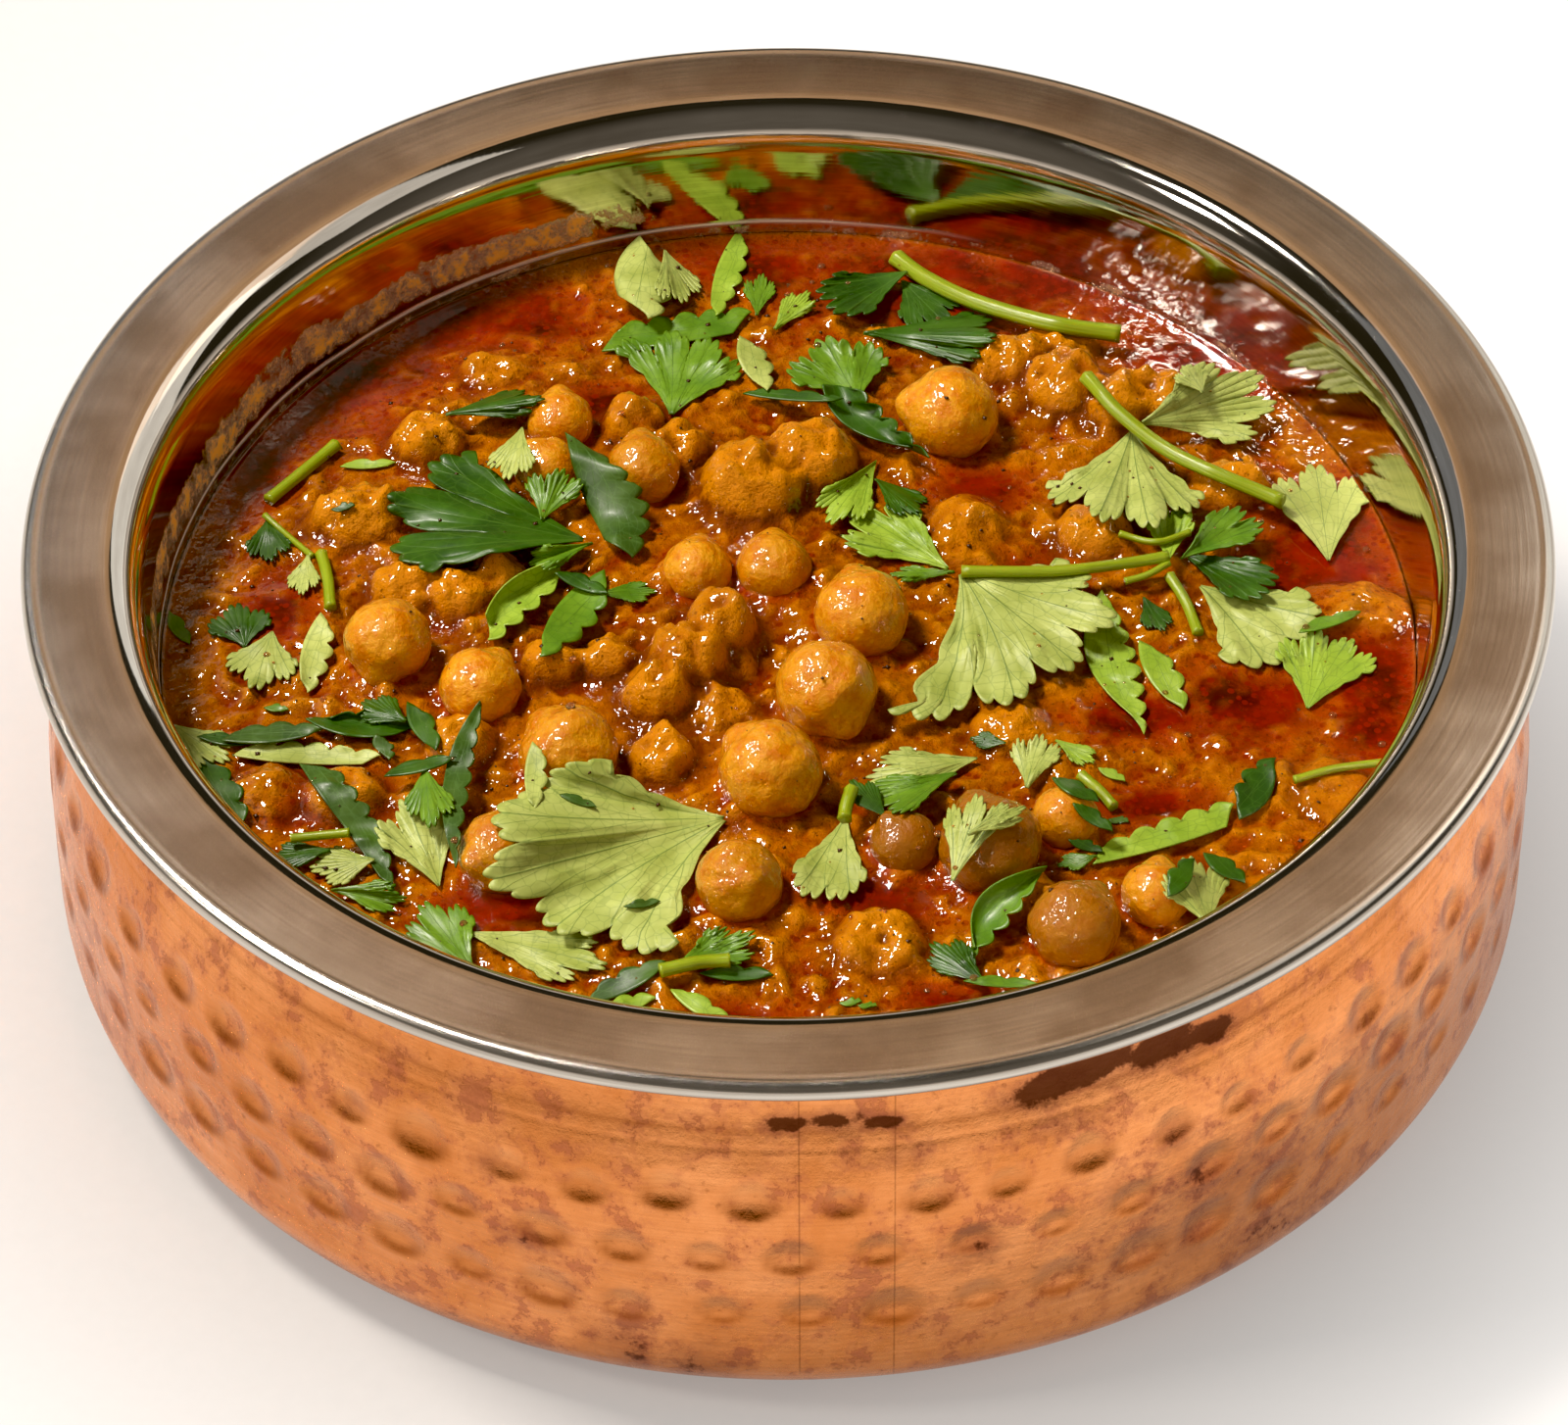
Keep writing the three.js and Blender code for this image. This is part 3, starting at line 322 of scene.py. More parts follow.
# Stalks, which are in the part, and strands: diameter, then places along the middle line.
STALKS = [
    (1.9, [(13, 64), (16.6, 60), (22.4, 55.6), (31, 51.6), (39, 49.8)]),
    (1.6, [(34.6, 42), (38.6, 35.2), (45, 28.2), (56.4, 20.6)]),
]
THIN_STALKS = [
    (1.0, [(-54.5, -32.7), (-51, -32.2), (-48, -31.8)]),
    (1.5, [(-14, -53), (-10, -51.8), (-6.5, -51.5)]),
    (1.5, [(6.8, -25.5), (6.2, -28), (6, -30)]),
    (1.2, [(32, -23.5), (34, -26), (35.5, -28.5)]),
    (0.9, [(55.5, -24.5), (60, -22.8), (66, -21.8)]),
    (1.3, [(19.5, 9.2), (30, 9.2), (37, 10.2), (43, 11.5)]),
    (1.2, [(43, 8.5), (44.8, 4), (46, -1)]),
    (0.8, [(38, 7.5), (40.6, 8.6), (43, 10.5)]),
    (1.4, [(-59.5, 22), (-56, 26.4), (-52, 31.5)]),
    (0.7, [(-59.8, 19.5), (-57, 16), (-54, 12.5)]),
    (1.3, [(-53, 13), (-52, 8.6), (-51.5, 4)]),
    (0.8, [(45.6, 15.6), (41.6, 14), (37.6, 15.4)]),
]

# Dark marks on the copper: angle in degrees, height, half width and half height in mm, strength.
COPPER_STAINS = [
    (-71, 42.6, 4, 1.8, 1.0),
    (-67, 43.6, 6, 2.2, 1.0),
    (-61, 43.6, 5, 2.6, 1.0),
    (-57, 42.4, 5, 1.6, 0.9),
    (-90.5, 42.6, 2.4, 1.0, 0.9),
    (-87, 42.8, 3, 1.2, 1.0),
    (-83.4, 42.2, 3, 0.8, 0.8),
    (-60.7, 32, 2, 2.4, 0.65),
    (-58.6, 25, 7, 5, 0.5),
    (-56, 20, 10, 7, 0.5),
    (-60, 14, 8, 5, 0.45),
    (-52, 9.5, 10, 4, 0.5),
    (-76.2, 24.4, 2.4, 2.4, 0.7),
    (-66, 28, 2.4, 2.6, 0.5),
    (-70, 38.4, 4, 1.4, 0.5),
    (-82, 38.2, 4, 1.6, 0.4),
    (-102.6, 9, 4, 4, 0.6),
    (-97, 8, 4, 4, 0.6),
    (-113, 33, 2, 2, 0.5),
    (-124, 33.5, 1.4, 1.4, 0.6),
    (-110, 23, 3, 2, 0.5),
    (-44, 32, 4, 3, 0.4),
    (-40, 22, 6, 5, 0.4),
]

# ---- camera, at the photograph's viewing angle ---------------------------------------------------
IMAGE_WIDTH = 1600
FOCAL_PIXELS = 7554.75
CAMERA_RISE = 0.77085  # radians above the horizon
CAMERA_FAR = 800.0
CAMERA_ROLL = -0.00584
CAMERA_AIM = (-0.5546, -29.3317, RIM_TOP)


def add_camera():
    """Camera on a line that leaves the aim point at CAMERA_RISE above the horizon, towards -Y."""
    camera = bpy.data.cameras.new("camera")
    camera.sensor_width = 36
    camera.lens = FOCAL_PIXELS / IMAGE_WIDTH * camera.sensor_width
    camera.clip_start, camera.clip_end = 0.05, 20
    rise, roll = CAMERA_RISE, CAMERA_ROLL
    back = np.array([0, -math.cos(rise), math.sin(rise)])
    right = np.array([1.0, 0, 0])
    up = np.cross(back, right)
    right, up = (
        math.cos(roll) * right + math.sin(roll) * up,
        math.cos(roll) * up - math.sin(roll) * right,
    )
    place = (np.array(CAMERA_AIM) + CAMERA_FAR * back) * MM
    holder = bpy.data.objects.new("camera", camera)
    bpy.context.scene.collection.objects.link(holder)
    turned = np.eye(4)
    turned[:3, 0], turned[:3, 1], turned[:3, 2], turned[:3, 3] = right, up, back, place
    holder.matrix_world = Matrix(turned.tolist())
    bpy.context.scene.camera = holder


add_camera()


# ---- meshes -------------------------------------------------------------------------------------
def grid_faces(rows, columns, goes_round=False):
    """Quads between neighbouring places of a grid, and round from its last column to its first if asked."""
    i, j = np.meshgrid(np.arange(rows - 1), np.arange(columns - (not goes_round)), indexing="ij")
    after = (j + 1) % columns
    quads = [i * columns + j, i * columns + after, (i + 1) * columns + after, (i + 1) * columns + j]
    return np.stack(quads, -1).reshape(-1, 4)


def closed_faces(rows, around, foot, head):
    """Quads of a grid that goes round, its first row joined to the place foot and its last to head."""
    now = np.arange(around)
    after, last = (now + 1) % around, (rows - 1) * around
    faces = grid_faces(rows, around, goes_round=True).tolist()
    faces += np.stack([np.full(around, foot), after, now], -1).tolist()
    return faces + np.stack([np.full(around, head), last + now, last + after], -1).tolist()


def edge_numbers(rows, columns):
    """Numbers of the places on a grid's edge, in order round it."""
    number = np.arange(rows * columns).reshape(rows, columns)
    return np.concatenate([number[0, :-1], number[:-1, -1], number[-1, :0:-1], number[:0:-1, 0]])


def mean_round(z):
    """The mean of each place's four neighbours on a grid. Beyond the edge the edge's own value counts."""
    wide = np.pad(z, 1, mode="edge")
    return (wide[:-2, 1:-1] + wide[2:, 1:-1] + wide[1:-1, :-2] + wide[1:-1, 2:]) / 4


def add_piece(name, places, faces, material, nodes=(), marks=None, uv=None):
    """A finished piece: places in mm go into its mesh, marks are attributes of its places, uv is its map."""
    mesh = bpy.data.meshes.new(name)
    mesh.from_pydata((places * MM).tolist(), [], [list(f) for f in faces])
    mesh.shade_smooth()
    for key, values in (marks or {}).items():
        mark = mesh.attributes.new(key, "FLOAT", "POINT")
        mark.data.foreach_set("value", values.astype(np.float32).ravel())
    if uv is not None:
        corner = np.zeros(len(mesh.loops), np.int32)
        mesh.loops.foreach_get("vertex_index", corner)
        layer = mesh.uv_layers.new(name="UVMap")
        layer.data.foreach_set("uv", uv[corner].astype(np.float32).ravel())
    mesh.materials.append(material)
    mesh.update()
    piece = bpy.data.objects.new(name, mesh)
    bpy.context.scene.collection.objects.link(piece)
    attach(piece, "root")
    if nodes:
        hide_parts(*nodes)
    return piece


def join_meshes(parts):
    """Several (places, faces, uv) as one, with the face numbers moved on past the places before them."""
    start, faces = 0, []
    for places, own_faces, _ in parts:
        faces += [[n + start for n in face] for face in own_faces]
        start += len(places)
    return np.concatenate([p[0] for p in parts]), faces, np.concatenate([p[2] for p in parts])


def drift(x, y, size, seed):
    """Smooth random value from about -1 to 1: random slopes on a square lattice of the given size in mm,
    each carried to the place and blended with a quintic ease."""
    slopes = np.random.default_rng(seed).uniform(-1, 1, (64, 64, 2))
    u, v = np.asarray(x) / size, np.asarray(y) / size
    i, j = np.floor(u).astype(int), np.floor(v).astype(int)
    f, g = u - i, v - j
    ease_f, ease_g = (s * s * s * (s * (s * 6 - 15) + 10) for s in (f, g))

    def carried(a, b):
        slope = slopes[(i + a) % 64, (j + b) % 64]
        return slope[..., 0] * (f - a) + slope[..., 1] * (g - b)

    near = carried(0, 0) * (1 - ease_f) + carried(1, 0) * ease_f
    far = carried(0, 1) * (1 - ease_f) + carried(1, 1) * ease_f
    return 1.6 * (near * (1 - ease_g) + far * ease_g)


def layered(x, y, size, seed, layers=3):
    """Sum of drifts, each of half the size and half the strength of the one before."""
    return sum(drift(x, y, size / 2**n, seed + n) / 2**n for n in range(layers))


def arc(middle_r, middle_z, half_r, half_z, a, b, steps):
    """Places on an arc of an ellipse in the profile plane, from angle a to angle b in degrees."""
    turn = np.radians(np.linspace(a, b, steps + 1))
    return np.stack([middle_r + half_r * np.cos(turn), middle_z + half_z * np.sin(turn)], -1)


def line(start, end, steps):
    """Even places on a straight line in the profile plane, without its first one."""
    share = np.linspace(0, 1, steps + 1)[1:, None]
    return np.array(start) * (1 - share) + np.array(end) * share


def turned_mesh(profile, around):
    """A closed profile carried round the vertical axis. Its first and last places are on the axis."""
    angle = np.linspace(-math.pi, math.pi, around, endpoint=False)
    rings = profile[1:-1]
    x = rings[:, :1] * np.cos(angle)
    y = rings[:, :1] * np.sin(angle)
    z = np.repeat(rings[:, 1:], around, 1)
    ends = [[0, 0, profile[0, 1]], [0, 0, profile[-1, 1]]]
    places = np.concatenate([np.stack([x, y, z], -1).reshape(-1, 3), ends])
    return places, closed_faces(len(rings), around, len(places) - 2, len(places) - 1)


# ---- colours and nodes --------------------------------------------------------------------------
def colour(sight):
    """A colour written as six sRGB hex digits, as linear red, green, blue and a full alpha."""
    shares = [int(sight[n : n + 2], 16) / 255 for n in (0, 2, 4)]
    return [s / 12.92 if s <= 0.04045 else ((s + 0.055) / 1.055) ** 2.4 for s in shares] + [1.0]


def finish(name, **constants):
    """A new material, its nodes and its shader, with the values that are the same all over."""
    material = bpy.data.materials.new(name)
    material.use_nodes = True
    shader = material.node_tree.nodes["Principled BSDF"]
    for key, value in constants.items():
        shader.inputs[key.replace("_", " ")].default_value = value
    return material, material.node_tree, shader


def wire(tree, node, links):
    """Gives each socket a value, or joins it to an output, which is a named node's first one in use."""
    for socket, value in links.items():
        if isinstance(value, bpy.types.Node):
            value = next(end for end in value.outputs if end.enabled)
        if isinstance(value, bpy.types.NodeSocket):
            tree.links.new(value, node.inputs[socket])
        else:
            node.inputs[socket].default_value = value


def put(tree, kind, links=None, **settings):
    """Adds a node with its settings and its links."""
    node = tree.nodes.new(kind)
    for key, value in settings.items():
        setattr(node, key, value)
    wire(tree, node, links or {})
    return node


# Sockets that go by number: a mix has its share at 0, two numbers at 2 and 3, and two colours at 6 and 7. A
# range reads from 1 to 2 and gives from 3 to 4, which are 0 and 1 where they aren't said.
MIX, MAP, NOISE, MATH = "ShaderNodeMix", "ShaderNodeMapRange", "ShaderNodeTexNoise", "ShaderNodeMath"
MARK, COORDINATES, BUMP = "ShaderNodeAttribute", "ShaderNodeTexCoord", "ShaderNodeBump"
VECTOR, SPLIT, JOIN = "ShaderNodeVectorMath", "ShaderNodeSeparateXYZ", "ShaderNodeCombineXYZ"
RGBA = {"data_type": "RGBA"}


def per_mm(size):
    """Scale of a pattern on Object coordinates, in metres, for a grain of this size in mm."""
    return 1000 / size


def hammered_copper():
    """Copper sheet, spun and hammered by hand: a satin orange metal with bright worn high places, rose and
    brown tarnish in clouds, dark brown stains at the crease, and fine lines from the lathe. Each hammer
    mark carries painted shade in its lower crescent and middle, and a painted highlight on its upper part."""
    material, tree, shader = finish("spun_and_hammered_copper", Metallic=1.0)
    place = put(tree, COORDINATES).outputs["Object"]
    cloud, blotch, grain = (
        put(tree, NOISE, {"Vector": place, "Scale": per_mm(size), "Detail": detail, "Roughness": rough})
        for size, detail, rough in ((17, 7.0, 0.66), (5, 6.0, 0.7), (1.2, 4.0, 0.65))
    )
    lathe = put(tree, "ShaderNodeMapping", {"Vector": place, "Scale": (70, 70, 2200)})
    lines = put(tree, NOISE, {"Vector": lathe, "Scale": 1.0, "Detail": 4.0, "Roughness": 0.6})
    worn = put(tree, MAP, {0: cloud, 1: 0.36, 2: 0.62})
    streak = put(tree, MAP, {0: lines, 1: 0.35, 2: 0.7, 4: 0.3})
    rose = put(tree, MAP, {0: blotch, 1: 0.5, 2: 0.64, 4: 0.6})
    edge = put(tree, MATH, {0: blotch, 1: 0.6}, operation="SUBTRACT")
    edge = put(tree, MATH, {0: edge}, operation="ABSOLUTE")
    ring = put(tree, MAP, {0: edge, 1: 0.003, 2: 0.014, 3: 0.4, 4: 0.0})
    freckle = put(tree, MAP, {0: grain, 1: 0.6, 2: 0.74, 4: 0.5})
    painted_dent_highlight, bite, stain = (
        put(tree, MARK, attribute_name=name).outputs["Fac"] for name in ("painted_dent_highlight", "bite", "stain")
    )
    uneven = put(tree, MATH, {0: blotch, 1: 1.3, 2: -0.15}, operation="MULTIPLY_ADD")
    ragged = put(tree, MATH, {0: stain, 1: uneven}, operation="ADD")
    soft = put(tree, MAP, {0: ragged, 1: 0.6, 2: 1.2, 4: 0.65})
    dark = put(tree, MAP, {0: ragged, 1: 1.04, 2: 1.16, 4: 0.85})
    across = put(tree, SPLIT, {0: place})
    broken = put(tree, MAP, {0: cloud, 1: 0.42, 2: 0.5, 4: 0.4})
    layers = [(worn, "da864a"), (streak, "b86a38"), (rose, "b4644a"), (ring, "7c3e22"), (freckle, "8a4a28")]
    # Painted highlight on the upper part of each hammer mark, and painted shade in its lower crescent and
    # middle.
    layers += [(painted_dent_highlight, "ffb878"), (bite, "8a4418"), (soft, "844638")]
    for scratch in SCRATCHES:
        near = put(tree, MATH, {0: across, 1: scratch * MM, 2: SCRATCH_HALF * MM}, operation="COMPARE")
        layers.append((put(tree, MATH, {0: near, 1: broken}, operation="MULTIPLY"), "5a2c18"))
    base = colour("f4a266")
    for share, tint in layers + [(dark, "56281a")]:
        base = put(tree, MIX, {0: share, 6: base, 7: colour(tint)}, **RGBA)
    rough = put(tree, MAP, {0: blotch, 1: 0.3, 2: 0.7, 3: 0.2, 4: 0.34})
    rough = put(tree, MIX, {0: dark, 2: rough, 3: 0.55})
    fine = put(tree, BUMP, {"Height": lines, "Strength": 0.2, "Distance": 0.0001})
    for height, strength, distance in ((grain, 0.2, 0.0001), (blotch, 0.6, 0.0004)):
        under = {"Normal": fine, "Strength": strength, "Distance": distance}
        fine = put(tree, BUMP, {"Height": height, **under})
    wire(tree, shader, {"Base Color": base, "Roughness": rough, "Normal": fine})
    return material


def brushed_steel():
    """Stainless steel, spun and brushed round: a grey mirror with fine rings, dull water marks on the flange
    and a brown band of dried gravy on the left wall, over a thin line of oil painted pale as a painted
    reflection."""
    material, tree, shader = finish("spun_stainless_steel")
    place = put(tree, COORDINATES).outputs["Object"]
    x, y, z = put(tree, SPLIT, {0: place}).outputs
    flat = put(tree, JOIN, {0: x, 1: y})
    radius = put(tree, VECTOR, {0: flat}, operation="LENGTH")
    way = put(tree, VECTOR, {0: flat}, operation="NORMALIZE")
    depth = put(tree, MATH, {0: radius, 1: z}, operation="SUBTRACT")
    ring = put(tree, MATH, {0: depth, 1: per_mm(0.45)}, operation="MULTIPLY")
    round_way = put(tree, VECTOR, {0: way, "Scale": 5.0}, operation="SCALE")
    x, y, _ = put(tree, SPLIT, {0: round_way}).outputs
    brushed = put(tree, JOIN, {0: x, 1: y, 2: ring})
    rings = put(tree, NOISE, {"Vector": brushed, "Scale": 1.0, "Detail": 3.0, "Roughness": 0.6})
    water = put(tree, NOISE, {"Vector": place, "Scale": per_mm(16), "Detail": 3.0, "Roughness": 0.5})
    slanted = {"Vector": place, "Rotation": (0, 0, 0.7), "Scale": (1400, 40, 40)}
    scratch = put(tree, "ShaderNodeMapping", slanted)
    scratches = put(tree, NOISE, {"Vector": scratch, "Scale": 1.0, "Detail": 2.0})
    grit = put(tree, NOISE, {"Vector": place, "Scale": per_mm(3.4), "Detail": 7.0, "Roughness": 0.75})
    film, haze, oil_line_glint, dull = (
        put(tree, MARK, attribute_name=name).outputs["Fac"] for name in ("film", "haze", "oil_line_glint", "dull")
    )
    dried = put(tree, MATH, {0: film, 1: grit}, operation="ADD")
    dried = put(tree, MAP, {0: dried, 1: 0.95, 2: 1.16, 4: 0.9})
    patch = put(tree, MAP, {0: water, 1: 0.38, 2: 0.62, 3: 0.1, 4: 0.75})
    patch = put(tree, MATH, {0: haze, 1: patch}, operation="MULTIPLY")
    lumpy = put(tree, MAP, {0: grit, 1: 0.42, 2: 0.57})
    brown = put(tree, MIX, {0: lumpy, 6: colour("5a3006"), 7: colour("ffb436")}, **RGBA)
    base = put(tree, MIX, {0: rings, 6: colour("a89f94"), 7: colour("e4ded4")}, **RGBA)
    # The oil line's pale colour is a painted reflection of its wet edge.
    for share, tint in ((patch, colour("94806c")), (dried, brown), (oil_line_glint, colour("f6e2d4"))):
        base = put(tree, MIX, {0: share, 6: base, 7: tint}, **RGBA)
    dried = put(tree, MATH, {0: dried, 1: oil_line_glint}, operation="MAXIMUM")
    metal = put(tree, MAP, {0: dried, 3: 1.0, 4: 0.0})
    clouds = put(tree, MAP, {0: water, 1: 0.3, 2: 0.7, 3: 0.0, 4: 0.035})
    rough = put(tree, MATH, {0: dull, 1: clouds}, operation="ADD")
    rough = put(tree, MIX, {0: dried, 2: rough, 3: 0.42})
    crust = put(tree, MATH, {0: dried, 1: grit}, operation="MULTIPLY")
    fine = put(tree, BUMP, {"Height": rings, "Strength": 0.1, "Distance": 0.0001})
    for height, strength, distance in ((scratches, 0.03, 0.0001), (crust, 0.5, 0.0004)):
        under = {"Normal": fine, "Strength": strength, "Distance": distance}
        fine = put(tree, BUMP, {"Height": height, **under})
    wire(tree, shader, {"Base Color": base, "Metallic": metal, "Roughness": rough, "Normal": fine})
    return material


def oily_gravy():
    """Simmered onion and tomato gravy under oil: a glossy golden brown with paler pulp, fine grains of spice,
    and clear deep red where the oil stands. The oil is a clear coat with its own finer ripple. Hollows are
    darkened as painted shade, and crests are lightened as a painted highlight."""
    material, tree, shader = finish(
        "simmered_gravy_under_oil", IOR=1.45, Specular_IOR_Level=0.08, Roughness=0.45, Coat_Weight=1.0,
        Coat_Roughness=0.02,
    )
    place = put(tree, COORDINATES).outputs["Object"]
    broad, grain, speck, ripple = (
        put(tree, NOISE, {"Vector": place, "Scale": per_mm(size), "Detail": detail, "Roughness": rough})
        for size, detail, rough in ((7, 6.0, 0.65), (1.3, 5.0, 0.7), (0.5, 2.0, 0.5), (1.1, 1.0, 0.4))
    )
    pulp, browned, oil, hollow = (
        put(tree, MARK, attribute_name=name).outputs["Fac"] for name in ("pulp", "browned", "oil", "hollow")
    )
    thick = put(tree, MAP, {0: broad, 1: 0.36, 2: 0.62})
    fleck = put(tree, MAP, {0: grain, 1: 0.5, 2: 0.7, 4: 0.6})
    pulp = put(tree, MATH, {0: pulp, 1: 0.8}, operation="MULTIPLY")
    browned = put(tree, MATH, {0: browned, 1: 0.7}, operation="MULTIPLY")
    wander = put(tree, MATH, {0: grain, 1: 0.9, 2: -0.45}, operation="MULTIPLY_ADD")
    wander = put(tree, MATH, {0: wander, 1: oil}, operation="ADD")
    thin = put(tree, MAP, {0: wander, 1: 0.0, 2: 0.45, 4: 0.8})
    pool = put(tree, MAP, {0: wander, 1: 0.35, 2: 0.95})
    deep = put(tree, MIX, {0: thick, 6: colour("3c0400"), 7: colour("801400")}, **RGBA)
    drop = put(tree, "ShaderNodeTexVoronoi", {"Vector": place, "Scale": per_mm(1.25)})
    drop = put(tree, MAP, {0: drop, 1: 0.3, 2: 0.36, 3: 0.75, 4: 0.0})
    near_oil = put(tree, MAP, {0: wander, 1: 0.0, 2: 0.3})
    drops = put(tree, MATH, {0: drop, 1: near_oil}, operation="MULTIPLY")
    # Painted highlight on the crests and painted shade in the hollows of the gravy.
    painted_crest_highlight = put(tree, MAP, {0: hollow, 1: 0.0, 2: -0.5, 3: 0.0, 4: 0.5})
    painted_hollow_shade = put(tree, MAP, {0: hollow, 1: 0.0, 2: 0.5, 3: 0.0, 4: 0.8})
    dark = put(tree, MAP, {0: speck, 1: 0.62, 2: 0.7, 4: 0.6})
    base = colour("7e3200")
    for share, tint in (
        (thick, colour("b66604")),
        (fleck, colour("d08a10")),
        (pulp, colour("d08010")),
        (browned, colour("944806")),
        (thin, colour("9c3400")),
        (pool, deep),
        (drops, colour("7a1400")),
        (painted_crest_highlight, colour("d88a14")),
        (painted_hollow_shade, colour("5c1800")),
        (dark, colour("4a1600")),
    ):
        base = put(tree, MIX, {0: share, 6: base, 7: tint}, **RGBA)
    grain, ripple = (put(tree, MIX, {0: pool, 2: rough, 3: 0.5}) for rough in (grain, ripple))
    relief = put(tree, BUMP, {"Height": grain, "Strength": 1.0, "Distance": 0.0007})
    wet = put(tree, BUMP, {"Height": ripple, "Strength": 1.0, "Distance": 0.0003})
    wire(tree, shader, {"Base Color": base, "Normal": relief, "Coat Normal": wet})
    return material


def soaked_chickpea():
    """Boiled chickpea under a film of gravy: a tan, slightly see-through skin with fine wrinkles, a wet
    gloss, orange gravy caught low on it, and a grey brown where the skin is soaked dark."""
    material, tree, shader = finish(
        "boiled_chickpea_skin", IOR=1.42, Specular_IOR_Level=0.25, Roughness=0.35, Coat_Weight=1.0,
        Coat_Roughness=0.04, Subsurface_Weight=0.15, Subsurface_Scale=0.003,
    )
    shader.inputs["Subsurface Radius"].default_value = (1.0, 0.45, 0.12)
    place = put(tree, COORDINATES).outputs["Object"]
    broad, skin, film, runny = (
        put(tree, NOISE, {"Vector": place, "Scale": per_mm(size), "Detail": detail, "Roughness": rough})
        for size, detail, rough in ((3.6, 5.0, 0.65), (0.8, 4.0, 0.65), (2.1, 5.0, 0.7), (1.0, 1.0, 0.4))
    )
    soaked, gravy = (put(tree, MARK, attribute_name=name).outputs["Fac"] for name in ("soaked", "gravy"))
    wet = put(tree, MAP, {0: film, 1: 0.44, 2: 0.62, 4: 0.7})
    ragged = put(tree, MATH, {0: gravy, 1: broad}, operation="ADD")
    coated = put(tree, MAP, {0: ragged, 1: 0.8, 2: 1.15, 4: 0.8})
    base = colour("d07e04")
    for share, tint in ((broad, "e8a828"), (wet, "c46200"), (soaked, "8c5210"), (coated, "ac5000")):
        base = put(tree, MIX, {0: share, 6: base, 7: colour(tint)}, **RGBA)
    relief = put(tree, BUMP, {"Height": skin, "Strength": 1.0, "Distance": 0.0003})
    runny = put(tree, BUMP, {"Height": runny, "Strength": 1.0, "Distance": 0.0004})
    wire(tree, shader, {"Base Color": base, "Normal": relief, "Coat Normal": runny})
    return material


def coriander_leaf(tone, deep, light, vein, roughness, coat):
    """A cut coriander leaf: soft green between a net of veins. Its upper side is dark and waxy, and its
    underside is pale and dull, so each tone is one side of it, except that the dark tone is also painted
    shade on a few pieces that lie in shadow. The map's first number is 0 at a main vein and 0.5 midway to
    the next, and its second is the share of the length."""
    material, tree, shader = finish(
        f"coriander_leaf_{tone}", Coat_Weight=coat, Coat_Roughness=0.15, Roughness=roughness
    )
    place = put(tree, COORDINATES).outputs
    aside, along, _ = put(tree, SPLIT, {0: place["UV"]}).outputs
    nearest = put(tree, MATH, {0: aside}, operation="ROUND")
    off = put(tree, MATH, {0: aside, 1: nearest}, operation="SUBTRACT")
    off = put(tree, MATH, {0: off}, operation="ABSOLUTE")
    broad = put(tree, NOISE, {"Vector": place["Object"], "Scale": per_mm(5), "Detail": 4.0})
    cell = put(tree, NOISE, {"Vector": place["Object"], "Scale": per_mm(0.7), "Detail": 3.0})
    wide = put(tree, MATH, {0: off, 1: along}, operation="MULTIPLY")
    main = put(tree, MAP, {0: wide, 1: 0.004, 2: 0.015, 3: 0.75, 4: 0.0})
    bent = put(tree, MATH, {0: wide, 1: -1.3, 2: along}, operation="MULTIPLY_ADD")
    shaken = put(tree, MATH, {0: broad, 1: 0.1, 2: bent}, operation="MULTIPLY_ADD")
    count = put(tree, MATH, {0: shaken, 1: 5.0}, operation="MULTIPLY")
    saw = put(tree, MATH, {0: count, 1: 1.0}, operation="PINGPONG")
    side = put(tree, MAP, {0: saw, 1: 0.01, 2: 0.06, 3: 0.55, 4: 0.0})
    veins = put(tree, MATH, {0: main, 1: side}, operation="MAXIMUM")
    tint = put(tree, MAP, {0: broad, 1: 0.35, 2: 0.65})
    mottled = put(tree, MAP, {0: cell, 1: 0.35, 2: 0.7, 3: 0.0, 4: 0.22})
    cells = {"Vector": place["Object"], "Scale": per_mm(1.5)}
    net = put(tree, "ShaderNodeTexVoronoi", cells, feature="DISTANCE_TO_EDGE")
    net = put(tree, MAP, {0: net, 1: 0.015, 2: 0.06, 3: 0.3, 4: 0.0})
    base = colour(deep)
    for share, hue in ((tint, light), (mottled, deep), (net, vein), (veins, vein)):
        base = put(tree, MIX, {0: share, 6: base, 7: colour(hue)}, **RGBA)
    height = put(tree, MATH, {0: cell, 1: 0.4, 2: veins}, operation="MULTIPLY_ADD")
    relief = put(tree, BUMP, {"Height": height, "Strength": 0.25, "Distance": 0.0002})
    wire(tree, shader, {"Base Color": base, "Normal": relief})
    return material


def coriander_stalk():
    """A cut coriander stalk: moist yellow green with fine ribs along it."""
    material, tree, shader = finish(
        "coriander_stalk", Roughness=0.32, Subsurface_Weight=0.15, Subsurface_Scale=0.002
    )
    place = put(tree, COORDINATES).outputs["UV"]
    ribs = put(tree, "ShaderNodeMapping", {"Vector": place, "Scale": (9, 0.15, 1)})
    streak = put(tree, NOISE, {"Vector": ribs, "Scale": 1.0, "Detail": 3.0})
    base = put(tree, MIX, {0: streak, 6: colour("5f7a08"), 7: colour("a4b028")}, **RGBA)
    relief = put(tree, BUMP, {"Height": streak, "Strength": 0.3, "Distance": 0.0002})
    wire(tree, shader, {"Base Color": base, "Normal": relief})
    return material


def ground_spice():
    """Cracked pepper and toasted spice: matt, nearly black brown grains that the oil makes wet."""
    material, tree, shader = finish("cracked_black_pepper", Roughness=0.35)
    place = put(tree, COORDINATES).outputs["Object"]
    husk = put(tree, NOISE, {"Vector": place, "Scale": per_mm(0.5), "Detail": 2.0})
    base = put(tree, MIX, {0: husk, 6: colour("140a06"), 7: colour("54260c")}, **RGBA)
    wire(tree, shader, {"Base Color": base})
    return material


